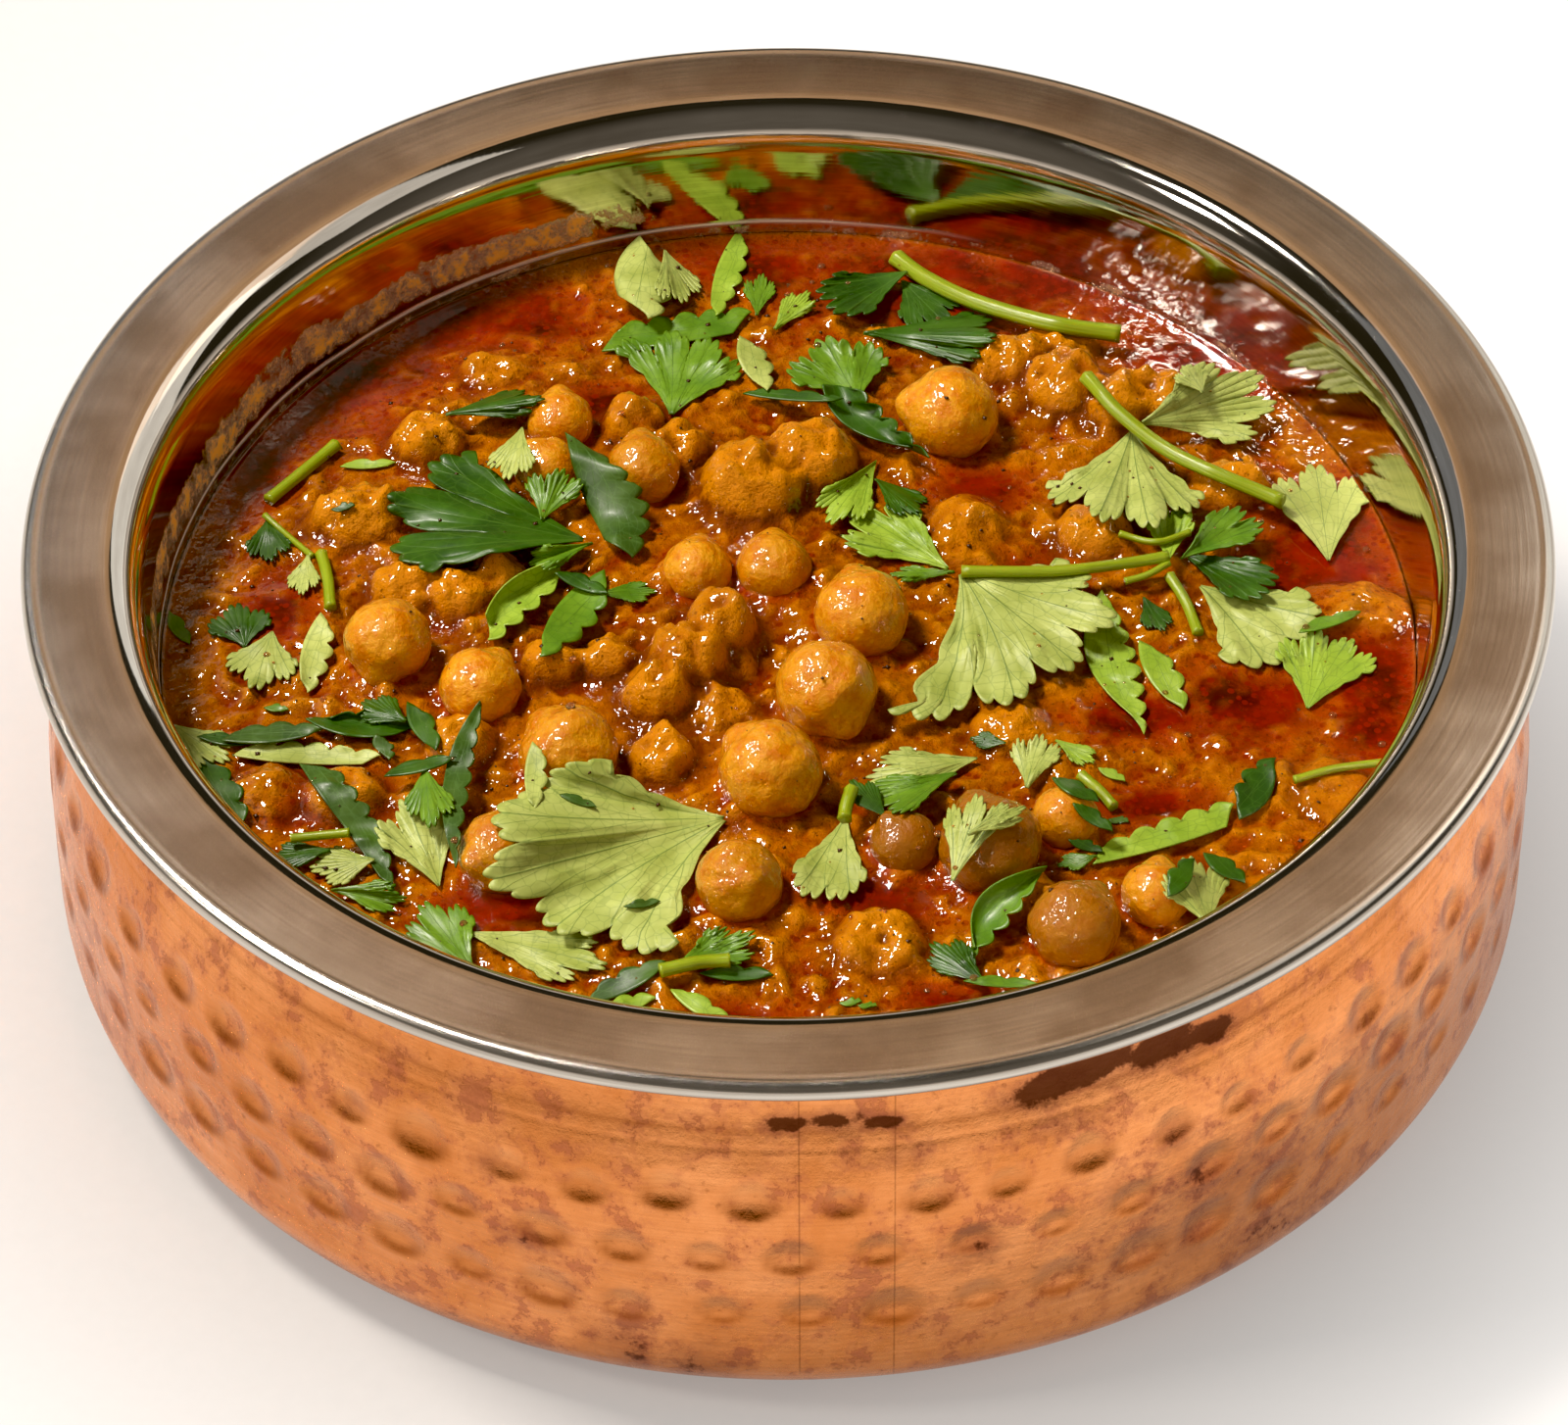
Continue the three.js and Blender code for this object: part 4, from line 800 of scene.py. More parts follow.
def oil_bubble():
    """A small dome of clear orange oil: only its rim and its bright point show."""
    material, tree, shader = finish("clear_oil_bubble", Roughness=0.03, IOR=1.46, Transmission_Weight=0.92)
    place = put(tree, COORDINATES).outputs["Object"]
    tint = put(tree, NOISE, {"Vector": place, "Scale": per_mm(3)})
    base = put(tree, MIX, {0: tint, 6: colour("f0a060"), 7: colour("ffd8a0")}, **RGBA)
    wire(tree, shader, {"Base Color": base})
    return material


COPPER = hammered_copper()
STEEL = brushed_steel()
GRAVY = oily_gravy()
PEA = soaked_chickpea()
STALK = coriander_stalk()
SPICE = ground_spice()
BUBBLE = oil_bubble()
TONES = {
    "pale": coriander_leaf("pale_underside", "94a048", "b2bc66", "56702a", 0.5, 0.0),
    "bright": coriander_leaf("bright", "7c9a26", "96b038", "4c6c14", 0.45, 0.05),
    "mid": coriander_leaf("mid", "4c7414", "6a8e20", "385814", 0.42, 0.06),
    # The dark tone is the leaf's upper side, and on a few pieces in shade it is also painted shade.
    "dark": coriander_leaf("dark_upper_side_and_shade", "1e4206", "365e0c", "466a1c", 0.42, 0.05),
    "deep": coriander_leaf("deep_bluish", "26440e", "44621e", "54763a", 0.45, 0.04),
}


# ---- copper shell -------------------------------------------------------------------------------
def belly_radius(z):
    """Widest at BELLY_Z, and falling back faster and faster up to the crease."""
    up = np.maximum(0, z - BELLY_Z) / (CREASE_Z - BELLY_Z)
    return BELLY - SHOULDER_DROP * up**2.6


def copper_profile():
    """Foot, rounded corner, belly, crease, neck, then back down inside, in fine steps where the marks are."""
    z = np.linspace(CORNER_Z + 0.3, CREASE_Z - 0.2, 96)
    belly = np.stack([belly_radius(z), z], -1)
    inner = CORNER - COPPER_WALL
    edge_z, inside = COPPER_TOP - EDGE_ROUND, BELLY - COPPER_WALL - 0.7
    fillet_top = NECK_Z + 5.2
    z = np.linspace(CREASE_Z + 0.2, fillet_top, 18)
    eased = (fillet_top - z) / (fillet_top - CREASE_Z)
    fillet = np.stack([NECK + (CREASE - NECK) * eased**2, z], -1)
    return np.concatenate(
        [
            [[0, 0]],
            line((0, 0), (BASE_RADIUS, 0), 6),
            arc(BELLY - CORNER, CORNER_Z, CORNER, CORNER, -78, 0, 14),
            belly,
            fillet,
            line((NECK, fillet_top), (NECK, edge_z), 6),
            arc(NECK - EDGE_ROUND, edge_z, EDGE_ROUND, EDGE_ROUND, 20, 90, 3),
            arc(NECK - COPPER_WALL + EDGE_ROUND, edge_z, EDGE_ROUND, EDGE_ROUND, 90, 180, 3),
            line((NECK - COPPER_WALL, edge_z), (NECK - COPPER_WALL, NECK_Z), 2),
            line((NECK - COPPER_WALL, NECK_Z), (inside, 30), 3),
            line((inside, 30), (inside, CORNER_Z), 3),
            arc(BELLY - CORNER, CORNER_Z, inner, inner, 0, -78, 6),
            line((BELLY - CORNER + 1, COPPER_WALL), (0, COPPER_WALL), 3),
        ]
    )


def hammer_marks(angle, z):
    """Depth of the marks: the deepest of each row's, a round dip, depth times (1 - distance squared) to the
    power 1.5, steeper below, where the hammer bit, inside a low ridge of pushed metal. Every mark strays a
    little from its even place, and is a little larger or smaller. The second result is painted shade: a
    crescent along the lower edge and a little over the middle of the dip. The third is a painted highlight
    on the upper part of the dip."""
    chance = np.random.default_rng(11)
    depth, bite, painted_dent_highlight = np.zeros((3, *np.broadcast(angle, z).shape))
    pitch = 2 * math.pi / DENTS_ROUND
    for height, first, deep in DENT_ROWS:
        aside, above, size = chance.uniform(-1, 1, (3, DENTS_ROUND))
        turn = (angle - math.radians(first)) / pitch
        for step in (-1, 0, 1):
            number = np.round(turn).astype(int) + step
            mark = number % DENTS_ROUND
            across = (turn - number) * pitch * BELLY - DENT_STRAY * aside[mark]
            along = z - height - DENT_STRAY * above[mark]
            along = np.where(along < 0, 1.35 * along, along)
            away = np.hypot(across, along) / (DENT_RADIUS * (1 + 0.22 * size[mark]))
            own = deep * (1 + 0.3 * size[mark])
            ridge = 0.1 * np.exp(-(((away - 1.12) / 0.2) ** 2))
            dip = own * (np.maximum(0, 1 - away**2) ** 1.5 - ridge)
            depth = np.where(np.abs(dip) > np.abs(depth), dip, depth)
            lean = along / np.maximum(np.hypot(across, along), 0.1)
            share = own**0.5
            body = np.exp(-((away / 0.85) ** 4))
            crescent = np.clip(0.5 - 0.5 * lean, 0, 1) ** 1.5 * np.exp(-(((away - 0.78) / 0.26) ** 2))
            # Painted shade: darker in a crescent along the lower edge of each mark and a little over its
            # middle.
            bite += share * (crescent + 0.24 * body)
            # Painted highlight: lighter on the upper part of each mark.
            painted_dent_highlight += share * np.clip(lean, 0, 1) * np.exp(-(((away - 0.5) / 0.3) ** 2))
    return depth, np.clip(bite, 0, 0.8), np.clip(0.4 * painted_dent_highlight, 0, 0.5)


def stain_marks(angle, z):
    """Strength of the dark marks: most at a mark's middle, falling evenly to 0 at twice its half sizes."""
    strength = np.zeros(angle.shape)
    for at, height, half_width, half_height, most in COPPER_STAINS:
        across = np.angle(np.exp(1j * (angle - math.radians(at)))) * BELLY / half_width
        away = np.hypot(across, (z - height) / half_height)
        strength = np.maximum(strength, most * np.clip(1.1 - 0.55 * away, 0, 1))
    return strength


def copper_shell():
    """The turned shell. Outside, its radius loses the marks, and it waves as sheet worked by hand does. A
    groove runs under the crease, and the crease is darkened, partly by dirt and partly as painted shade."""
    places, faces = turned_mesh(copper_profile(), COPPER_AROUND)
    x, y, z = places.T
    radius, angle = np.hypot(x, y), np.arctan2(y, x)
    outside = (z > CORNER_Z - 2) & (z < CREASE_Z) & (radius > belly_radius(z) - 0.6)
    depth, bite, painted_dent_highlight = np.where(outside, hammer_marks(angle, z), 0)
    wave = np.where(outside, WAVY * layered(angle * BELLY, z, 17, 5), 0)
    wave *= np.clip((CREASE_Z - z) / 4, 0, 1)
    groove = np.where(outside, GROOVE_DEEP * np.exp(-(((z - GROOVE_Z) / 0.3) ** 2)), 0)
    new_radius = radius - depth - np.abs(wave) - groove
    scale = np.divide(new_radius, radius, out=np.ones_like(radius), where=radius > 1)
    places[:, 0] *= scale
    places[:, 1] *= scale
    # Darker along the crease: partly dirt and partly painted shade, added to the marks' painted shade.
    crease_dirt_and_shade = 0.35 + 0.3 * layered(angle * BELLY, z, 9, 8)
    bite = np.maximum(bite, crease_dirt_and_shade * np.exp(-(((z - CREASE_Z - 0.3) / 0.28) ** 2)))
    marks = {"stain": stain_marks(angle, z), "bite": bite, "painted_dent_highlight": painted_dent_highlight}
    add_piece("copper_shell_skin", places, faces, COPPER, ["copper_shell"], marks)


copper_shell()


# ---- steel liner --------------------------------------------------------------------------------
def wall_radius(z):
    """Inside radius of the straight wall at a height."""
    return THROAT + (z - THROAT_Z) * WALL_SLOPE


def liner_profile():
    """From the middle underneath, out and up the outside, round the rolled edge, over the flange and down
    the inside to the middle of the floor. The flange's fall grows with the square of the way in, and the
    throat is a cubic curve from its end to the wall, drawn by its two bends."""
    tilt = math.degrees(math.atan(WALL_SLOPE))
    corner_z = FLOOR_TOP + FLOOR_CORNER
    foot_z = corner_z - FLOOR_CORNER * math.sin(math.radians(tilt))
    corner_r = wall_radius(foot_z) - FLOOR_CORNER * math.cos(math.radians(tilt))
    turn_r, turn_z = FLANGE_INNER - THROAT, FLANGE_TOP - FLANGE_FALL - THROAT_Z
    outer = FLOOR_CORNER + SHEET
    outside_end = (wall_radius(foot_z) + SHEET, foot_z)
    inside_foot = arc(corner_r, corner_z, FLOOR_CORNER, FLOOR_CORNER, -tilt, -90, 10)
    flange = line((BEAD_RING - 0.31, FLANGE_TOP), (FLANGE_INNER - 1.2, FLANGE_TOP), 18)
    flange[:, 1] -= FLANGE_FALL * np.linspace(0, 1, 18) ** 2
    edge = (wall_radius(GRAVY_LEVEL), GRAVY_LEVEL)
    throat_foot = (edge[0] + 1.15, THROAT_Z - 0.9)
    bends = [flange[-1], (FLANGE_INNER - 3.3, FLANGE_TOP - 0.25), (throat_foot[0] + 0.2, 50.4), throat_foot]
    share = np.linspace(0, 1, 23)[1:, None]
    shares = [(1 - share) ** 3, 3 * share * (1 - share) ** 2, 3 * share**2 * (1 - share), share**3]
    throat = sum(part * np.array(bend) for part, bend in zip(shares, bends))
    return np.concatenate(
        [
            [[0, FLOOR_TOP - SHEET]],
            line((0, FLOOR_TOP - SHEET), (corner_r, FLOOR_TOP - SHEET), 4),
            arc(corner_r, corner_z, outer, outer, -90, -tilt, 8)[1:],
            line(outside_end, (THROAT + SHEET, THROAT_Z), 6),
            arc(FLANGE_INNER, THROAT_Z, turn_r - SHEET, turn_z - SHEET, 180, 90, 8)[1:],
            arc(BEAD_RING, RIM_TOP - BEAD, BEAD, BEAD, -165, 105, 34),
            flange,
            throat,
            line(throat_foot, edge, 44),
            line(edge, tuple(inside_foot[0]), 8),
            inside_foot[1:],
            line((corner_r, FLOOR_TOP), (0, FLOOR_TOP), 8),
        ]
    )


def steel_liner():
    """The turned liner. film is the dried gravy above the gravy's edge at the left, oil_line_glint the line
    of oil under it, painted pale as a painted reflection, haze is 1 on the flange, and dull is the roughness
    of each zone: the wall and the throat are polished, and the flange and the rolled edge are brushed."""
    places, faces = turned_mesh(liner_profile(), LINER_AROUND)
    x, y, z = places.T
    radius, angle = np.hypot(x, y), np.degrees(np.arctan2(y, x))
    inside = (radius < THROAT) & (z > 20) & (z < THROAT_Z + 1)
    round_left = np.abs((angle - DRIED_MIDDLE + 180) % 360 - 180)
    above = z - GRAVY_LEVEL - MENISCUS + 0.3 * layered(angle, z, 14, 25)
    band = np.exp(-(((above - DRIED_ABOVE + 1.2 * layered(angle, z, 19, 21)) / 3.2) ** 4))
    smear = band * np.clip((62 - round_left) / 25, 0, 1)
    wet = 0.42 * np.clip((1.5 - above) / 0.6, 0, 1)
    film = np.where(inside, np.maximum(0.58 * smear, wet), 0)
    on_rim = np.clip((radius - THROAT - 1.6) / 1.6, 0, 1)
    haze = on_rim * (radius < BEAD_RING - 0.9)
    dull = 0.05 + 0.15 * on_rim
    left = np.clip((78 - round_left) / 20, 0, 1)
    # A thin line of oil whose pale colour is a painted reflection of its wet edge.
    oil_line_glint = np.where(inside, left * np.exp(-(((above - 1.4) / 0.22) ** 2)), 0)
    marks = {"film": film, "dull": dull, "oil_line_glint": oil_line_glint, "haze": haze}
    add_piece("steel_liner_skin", places, faces, STEEL, ["steel_liner"], marks)


steel_liner()


# ---- gravy --------------------------------------------------------------------------------------
def soft_highest(a, b, width):
    """The higher of two heights, with the corner between them rounded off over a width."""
    return np.maximum(a, b) + np.maximum(width - np.abs(a - b), 0) ** 2 / (4 * width)


def oil_share(x, y):
    """How much oil stands at a place: 1 in the middle of a pool, 0 beyond it, with a wandering edge."""
    share = np.zeros(np.shape(x))
    wander = 0.45 * layered(x, y, 9, 31)
    for pool_x, pool_y, half_x, half_y in OIL_POOLS:
        away = np.hypot((x - pool_x) / half_x, (y - pool_y) / half_y)
        share = np.maximum(share, np.clip(1.35 - away + wander, 0, 1))
    return share


def gravy_shape(x, y):
    """Height of the gravy, how much of it is pulp, and how much of the oil's darker colour it takes: the oil
    that stands there, and in the low places, where oil gathers, painted shade as well. A low heap with slow
    swells takes in each lump as the upper half of an ellipsoid, grows curds of several sizes where no oil
    stands, and climbs the wall and each chickpea in a short curve."""
    out = np.hypot(x, y) / GRAVY_REACH
    swell = 0.3 * np.sin(0.33 * x + 0.12 * y) + 0.3 * np.sin(0.29 * y - 0.21 * x + 1)
    plain = GRAVY_LEVEL + (GRAVY_HEAP + swell) * np.maximum(0, 1 - out**3)
    height = plain.copy()
    for lump_x, lump_y, lump_z, half_x, half_y, half_z in LUMPS:
        away = ((x - lump_x) / half_x) ** 2 + ((y - lump_y) / half_y) ** 2
        cap = lump_z + half_z * np.sqrt(np.maximum(0, 1 - away)) - 3 * np.maximum(0, away - 1)
        height = soft_highest(height, cap, LUMP_BLEND)
    pulp = np.clip((height - plain) / 2.5, 0, 1)
    oil = oil_share(x, y) * (1 - pulp)
    rough = (1 - 0.9 * oil) * np.clip((1 - out) * 14, 0, 1)
    grain = 0.4 * drift(x, y, 5.2, 41) + 0.34 * drift(x, y, 2.7, 42) + 0.16 * drift(x, y, 1.3, 43)
    grain *= 0.8 + 0.5 * pulp + 0.4 * drift(x, y, 17, 48)
    curd = 0.9 * np.clip(1.7 * drift(x, y, 3.1, 45) - 0.2, 0, 1)
    curd += 0.35 * np.clip(2 * drift(x, y, 1.7, 49), 0, 1)
    fold = (0.5 - 1.8 * np.abs(drift(x, y, 6.5, 44))) * pulp
    fold = fold + 0.5 * (0.4 - 1.6 * np.abs(drift(x + 0.6 * y, y - 0.4 * x, 3.0, 47))) * pulp
    height = height + rough * (grain + curd + 1.1 * fold + 0.5 * pulp * drift(x, y, 2.3, 46))
    height += MENISCUS * np.exp(-np.maximum(0, GRAVY_EDGE - np.hypot(x, y)) / 1.1)
    for (pea_x, pea_y, pea_z), radius, _, _ in CHICKPEAS:
        line_radius = np.sqrt(np.maximum(0.2, radius**2 - (plain - pea_z) ** 2))
        gap = np.hypot(x - pea_x, y - pea_y) - line_radius
        ring = np.exp(-np.maximum(0, gap - 0.2) / 0.7)
        height += 0.8 * MENISCUS * ring
        oil = np.maximum(oil, 0.75 * ring)
    # Low places take the oil's darker colour: partly oil that gathers there, partly painted shade.
    low_oil_and_shade = np.clip((plain - height) * 1.6 + 0.1, 0, 0.5)
    return height, pulp, np.maximum(oil, low_oil_and_shade)


def browned_share(x, y):
    """How brown the onion is at a place: 1 in the middle of a patch and 0 beyond its half widths."""
    share = np.zeros(np.shape(x))
    for at_x, at_y, half_x, half_y in BROWNED:
        away = np.hypot((x - at_x) / half_x, (y - at_y) / half_y) + 0.3 * drift(x, y, 2.6, 33)
        share = np.maximum(share, np.clip(1.5 - 1.3 * away, 0, 1))
    return share


def gravy():
    """A square grid of places bent onto a disc, x = u sqrt(1 - v²/2) and y = v sqrt(1 - u²/2), with the
    height above, closed by rings down the liner's inside to the middle of its floor. hollow is how far a
    place lies under the mean of those round it."""
    side = np.linspace(-1, 1, GRAVY_CELLS + 1)
    u, v = np.meshgrid(side, side)
    x = GRAVY_EDGE * u * np.sqrt(1 - v * v / 2)
    y = GRAVY_EDGE * v * np.sqrt(1 - u * u / 2)
    height, pulp, oil = gravy_shape(x, y)
    even = height
    for _ in range(14):
        even = mean_round(even)
    top = np.stack([x, y, height], -1).reshape(-1, 3)
    rim = edge_numbers(*height.shape)
    faces = grid_faces(*height.shape).tolist()
    rings = [(wall_radius(z) - 0.3, z) for z in (30, 22, 15)] + [(60, 8.2), (48, FLOOR_TOP + 0.4)]
    places, before, start = [top], rim, len(top)
    edge = top[rim, :2] / np.hypot(top[rim, 0], top[rim, 1])[:, None]
    for radius, z in rings:
        ring = np.column_stack([edge * radius, np.full(len(rim), z)])
        here = start + np.arange(len(rim))
        faces += np.stack([before, here, np.roll(here, -1), np.roll(before, -1)], -1).tolist()
        places.append(ring)
        before, start = here, start + len(rim)
    places.append([[0, 0, FLOOR_TOP + 0.4]])
    middle = np.full(len(rim), start)
    faces += np.stack([before, middle, np.roll(before, -1)], -1).tolist()
    below = np.zeros(start + 1 - len(top))
    # hollow carries the painted shade in the gravy's hollows and the painted highlight on its crests.
    marks = {"pulp": pulp, "oil": oil, "hollow": even - height, "browned": browned_share(x, y)}
    marks = {key: np.concatenate([values.ravel(), below]) for key, values in marks.items()}
    add_piece("gravy_skin", np.concatenate(places), faces, GRAVY, ["gravy"], marks)


gravy()


# ---- chickpeas ----------------------------------------------------------------------------------
def chickpea(number, middle, radius, beak, soaked):
    """A ball on a grid of turns: down is the angle from the beak, and about is the angle round it. A blunt
    beak swells at the pole with a slight waist under it, a shallow furrow runs back from it over one side,
    and the skin is dented and finely wrinkled. It is a little flatter than round."""
    down = np.linspace(0, math.pi, PEA_RINGS + 2)[1:-1, None]
    about = np.linspace(0, 2 * math.pi, PEA_AROUND, endpoint=False)[None, :]
    tip = np.array(beak) / np.linalg.norm(beak)
    across = np.cross(tip, [0.31, -0.22, 0.92])
    across /= np.linalg.norm(across)
    other = np.cross(tip, across)

    def swollen(down, about):
        turn = [np.sin(down) * np.cos(about), np.sin(down) * np.sin(about), np.cos(down) + 0 * about]
        way = np.stack(turn, -1) @ np.stack([across, other, tip])
        a, b, c = np.moveaxis(way * radius, -1, 0)
        dents = drift(a + 9 * number, b + c, 4.2, 51) + drift(b + 7 * number, c - a, 4.2, 52)
        wrinkles = drift(a - c + number, b + a, 1.1, 53) + drift(b - number, c + a, 0.9, 54)
        grown = 1 + BEAK_LENGTH * np.exp(-((down / BEAK_SPREAD) ** 2))
        grown = grown - 0.035 * np.exp(-(((down - 0.62) / 0.2) ** 2))
        furrow = np.exp(-((np.sin(about / 2) / 0.09) ** 2)) * np.exp(-(((down - 1.0) / 0.55) ** 2))
        grown = grown - 0.045 * furrow
        puckers = 0.4 - np.abs(drift(a + c + 5 * number, b - a, 2.6, 55))
        grown = grown + 0.036 * dents + 0.01 * wrinkles + 0.03 * puckers
        return np.array(middle) + way * (radius * grown)[..., None] * [1, 1, FLATTENED]

    grid = swollen(down, about)
    poles = swollen(np.array([[0.0], [math.pi]]), np.zeros((1, 1)))
    places = np.concatenate([grid.reshape(-1, 3), poles.reshape(-1, 3)])
    faces = closed_faces(PEA_RINGS, PEA_AROUND, len(places) - 2, len(places) - 1)
    faces = [face[::-1] for face in faces]
    low = np.clip((GRAVY_LEVEL + 4.2 - places[:, 2]) / 4, 0, 1)
    marks = {"gravy": low, "soaked": np.full(len(places), float(soaked))}
    name = f"chickpea_{number:02d}"
    add_piece(f"{name}_skin", places, faces, PEA, [name], marks)


for n, (middle, radius, beak, soaked) in enumerate(CHICKPEAS):
    chickpea(n + 1, middle, radius, beak, soaked)


# ---- what a leaf can lie on ---------------------------------------------------------------------
cover_line = np.arange(-COVER_HALF, COVER_HALF + COVER_CELL / 2, COVER_CELL)
cover_x, cover_y = np.meshgrid(cover_line, cover_line, indexing="ij")
cover = gravy_shape(cover_x, cover_y)[0]
for (pea_x, pea_y, pea_z), radius, _, _ in CHICKPEAS:
    left = (radius * 1.03) ** 2 - (cover_x - pea_x) ** 2 - (cover_y - pea_y) ** 2
    cover = np.where(left > 0, np.maximum(cover, pea_z + FLATTENED * np.sqrt(np.maximum(left, 0))), cover)


def cover_at(x, y):
    """Height of the highest thing at a place, blended evenly between the four cells round it."""
    u = np.clip((x + COVER_HALF) / COVER_CELL, 0, len(cover_line) - 1.001)
    v = np.clip((y + COVER_HALF) / COVER_CELL, 0, len(cover_line) - 1.001)
    i, j = u.astype(int), v.astype(int)
    f, g = u - i, v - j
    near = cover[i, j] * (1 - f) + cover[i + 1, j] * f
    far = cover[i, j + 1] * (1 - f) + cover[i + 1, j + 1] * f
    return near * (1 - g) + far * g


def lay(places):
    """Adds a laid piece's upper places to the cover."""
    i = np.clip(np.rint((places[..., 0] + COVER_HALF) / COVER_CELL).astype(int), 0, len(cover_line) - 1)
    j = np.clip(np.rint((places[..., 1] + COVER_HALF) / COVER_CELL).astype(int), 0, len(cover_line) - 1)
    np.maximum.at(cover, (i, j), places[..., 2])


def on_sight(x, y, z):
    """A place read on the sight level lies nearer the front if it is higher, and stays inside the bowl."""
    nearer = y - SIGHT_SLOPE * (z - SIGHT_LEVEL)
    most = wall_radius(z) - 0.6
    inward = np.minimum(1, most / np.maximum(np.hypot(x, nearer), 1))
    return np.stack([x * inward, nearer * inward, z], -1)


def first_cover(x, y):
    """Height where the sight line through a place first meets something, going down in even steps."""
    z = np.full(np.shape(x), RIM_TOP - 3.0)
    is_open = np.ones(np.shape(x), bool)
    while is_open.any():
        place = on_sight(x, y, z)
        is_open &= (cover_at(place[..., 0], place[..., 1]) < z) & (z > 30)
        z = np.where(is_open, z - SIGHT_STEP, z)
    return z


def draped(x, y, rise, steepest=LEAF_STEEPEST, rounds=24):
    """Heights of a stiff sheet that lies on the cover: no place hangs lower than its neighbour allows, then
    each takes the mean of its neighbours again and again without sinking into the cover."""
    clear = first_cover(x, y)
    z = clear.copy()
    for _ in range(max(z.shape)):
        for axis in (0, 1):
            if z.shape[axis] < 2:
                continue
            a, b = np.moveaxis(z, axis, 0)[:-1], np.moveaxis(z, axis, 0)[1:]
            apart = np.hypot(np.diff(x, axis=axis), np.diff(y, axis=axis))
            fall = steepest * np.moveaxis(apart, axis, 0)
            a[...] = np.maximum(a, b - fall)
            b[...] = np.maximum(b, a - fall)
    for _ in range(rounds):
        z = np.maximum(clear, mean_round(z))
    return z + LEAF_GAP + rise


# ---- coriander ----------------------------------------------------------------------------------
def thin_mesh(lower, thick, uv):
    """A thin closed solid: the lower grid, the same grid moved out along its normals, and a wall round."""
    rows, columns = lower.shape[:2]
    normal = np.cross(np.gradient(lower, axis=0), np.gradient(lower, axis=1))
    normal /= np.maximum(np.linalg.norm(normal, axis=-1, keepdims=True), 1e-9)
    over = normal[..., 2].mean() > 0
    upper = lower + (normal if over else -normal) * thick
    places = np.concatenate([upper.reshape(-1, 3), lower.reshape(-1, 3)])
    count = rows * columns
    rim = edge_numbers(rows, columns)
    after = np.roll(rim, -1)
    quads = grid_faces(rows, columns)
    wall = np.stack([rim, rim + count, after + count, after], -1)
    faces = np.concatenate([quads, quads[:, ::-1] + count, wall])
    faces = faces[:, ::-1] if over else faces
    return places, faces.tolist(), np.concatenate([uv.reshape(-1, 2)] * 2), upper


def scallops(turns, width):
    """0 in the middle of each turn and 1 in the cut between two, which is narrower the smaller the width."""
    return 1 - np.abs(np.sin(math.pi * turns)) ** width


def fan_plan(spread, at, to, lobes=3, notch=0.2, sides=(0.7, 0.7), detail=1.0):
    """Rays from the stalk end, longest in the middle: the reach falls off towards the sides with the 1.5th
    power, is cut in between the lobes by a narrow gap, and is scalloped by FAN_TEETH rounded teeth a lobe.
    The cuts fade away inwards, the gap evenly and the teeth with the square of the share."""
    rows, columns = int(28 * detail), lobes * FAN_TEETH * int(10 * detail) + 1
    across = np.linspace(-1, 1, columns)[None, :]
    share = np.linspace(0.03, 1, rows)[:, None]
    length = math.hypot(to[0] - at[0], to[1] - at[1])
    heading = math.atan2(to[1] - at[1], to[0] - at[0])
    side = np.where(across < 0, sides[0], sides[1])
    turns = (across + 1) * lobes / 2
    gap = scallops(turns, 0.5) * np.clip((1 - np.abs(across)) * lobes * 2, 0, 1)
    bite = min(0.12, 1.15 / length)
    crown = (2 * (turns % 1) - 1) ** 2
    uneven = 0.07 * drift(turns * 2.3 + at[0], at[1] + 0 * turns, 1.9, 62)
    reach = 1.08 * length * (1 - (1 - side) * np.abs(across) ** 1.5)
    reach = reach * (1 - share * (1 - (1 - 0.85 * notch * gap) * (1 - 0.05 * crown)))
    reach *= 1 - share**2 * (1 - (1 + uneven) * (1 - bite * scallops(turns * FAN_TEETH, 0.8)))
    jag = 1 - 0.13 * np.abs(across) ** 7 * share * scallops(share * 3.4, 0.8)
    turn = heading + across * math.radians(spread * 1.1) * (0.6 + 0.4 * share**0.7) * jag
    x = at[0] + share * reach * np.cos(turn)
    y = at[1] + share * reach * np.sin(turn)
    uv = np.stack(np.broadcast_arrays(turns - 0.5, share), -1)
    pleat = 0.03 * share**2 * np.cos(2 * math.pi * turns)
    return x, y, share + 0 * across, pleat, uv


def blade_plan(width, at, to, ends=(0.5, 0.4), bow=0.0, detail=1.0):
    """A strip along a bowed middle line. Its width swells between the shares left at the ends, and one side
    is toothed as the outer edge of a leaf is, while the other is a clean cut."""
    length = math.hypot(to[0] - at[0], to[1] - at[1])
    teeth = max(2, round(length / 3))
    rows, columns = teeth * int(10 * detail) + 1, int(16 * detail)
    share = np.linspace(0, 1, rows)[:, None]
    across = np.linspace(-1, 1, columns)[None, :]
    along = ((to[0] - at[0]) / length, (to[1] - at[1]) / length)
    bulge = 4 * share * (1 - share)
    swell = ends[0] * (1 - share) + ends[1] * share + bulge * (1 - (ends[0] + ends[1]) / 2)
    swell = swell * (1 + np.maximum(0, across) ** 2 * (0.2 - 0.5 * scallops(share * teeth, 0.8)))
    aside = bow * bulge + across * width * swell / 2
    slant = 0.3 * width * across
    x = at[0] + along[0] * (length * share + slant) - along[1] * aside
    y = at[1] + along[1] * (length * share + slant) + along[0] * aside
    uv = np.stack(np.broadcast_arrays(across * 0.5, 1 + share * length / 14), -1)
    pleat = -0.05 * width * (1 - across**2) + 0 * share
    return x, y, np.abs(across) + 0 * share, pleat, uv


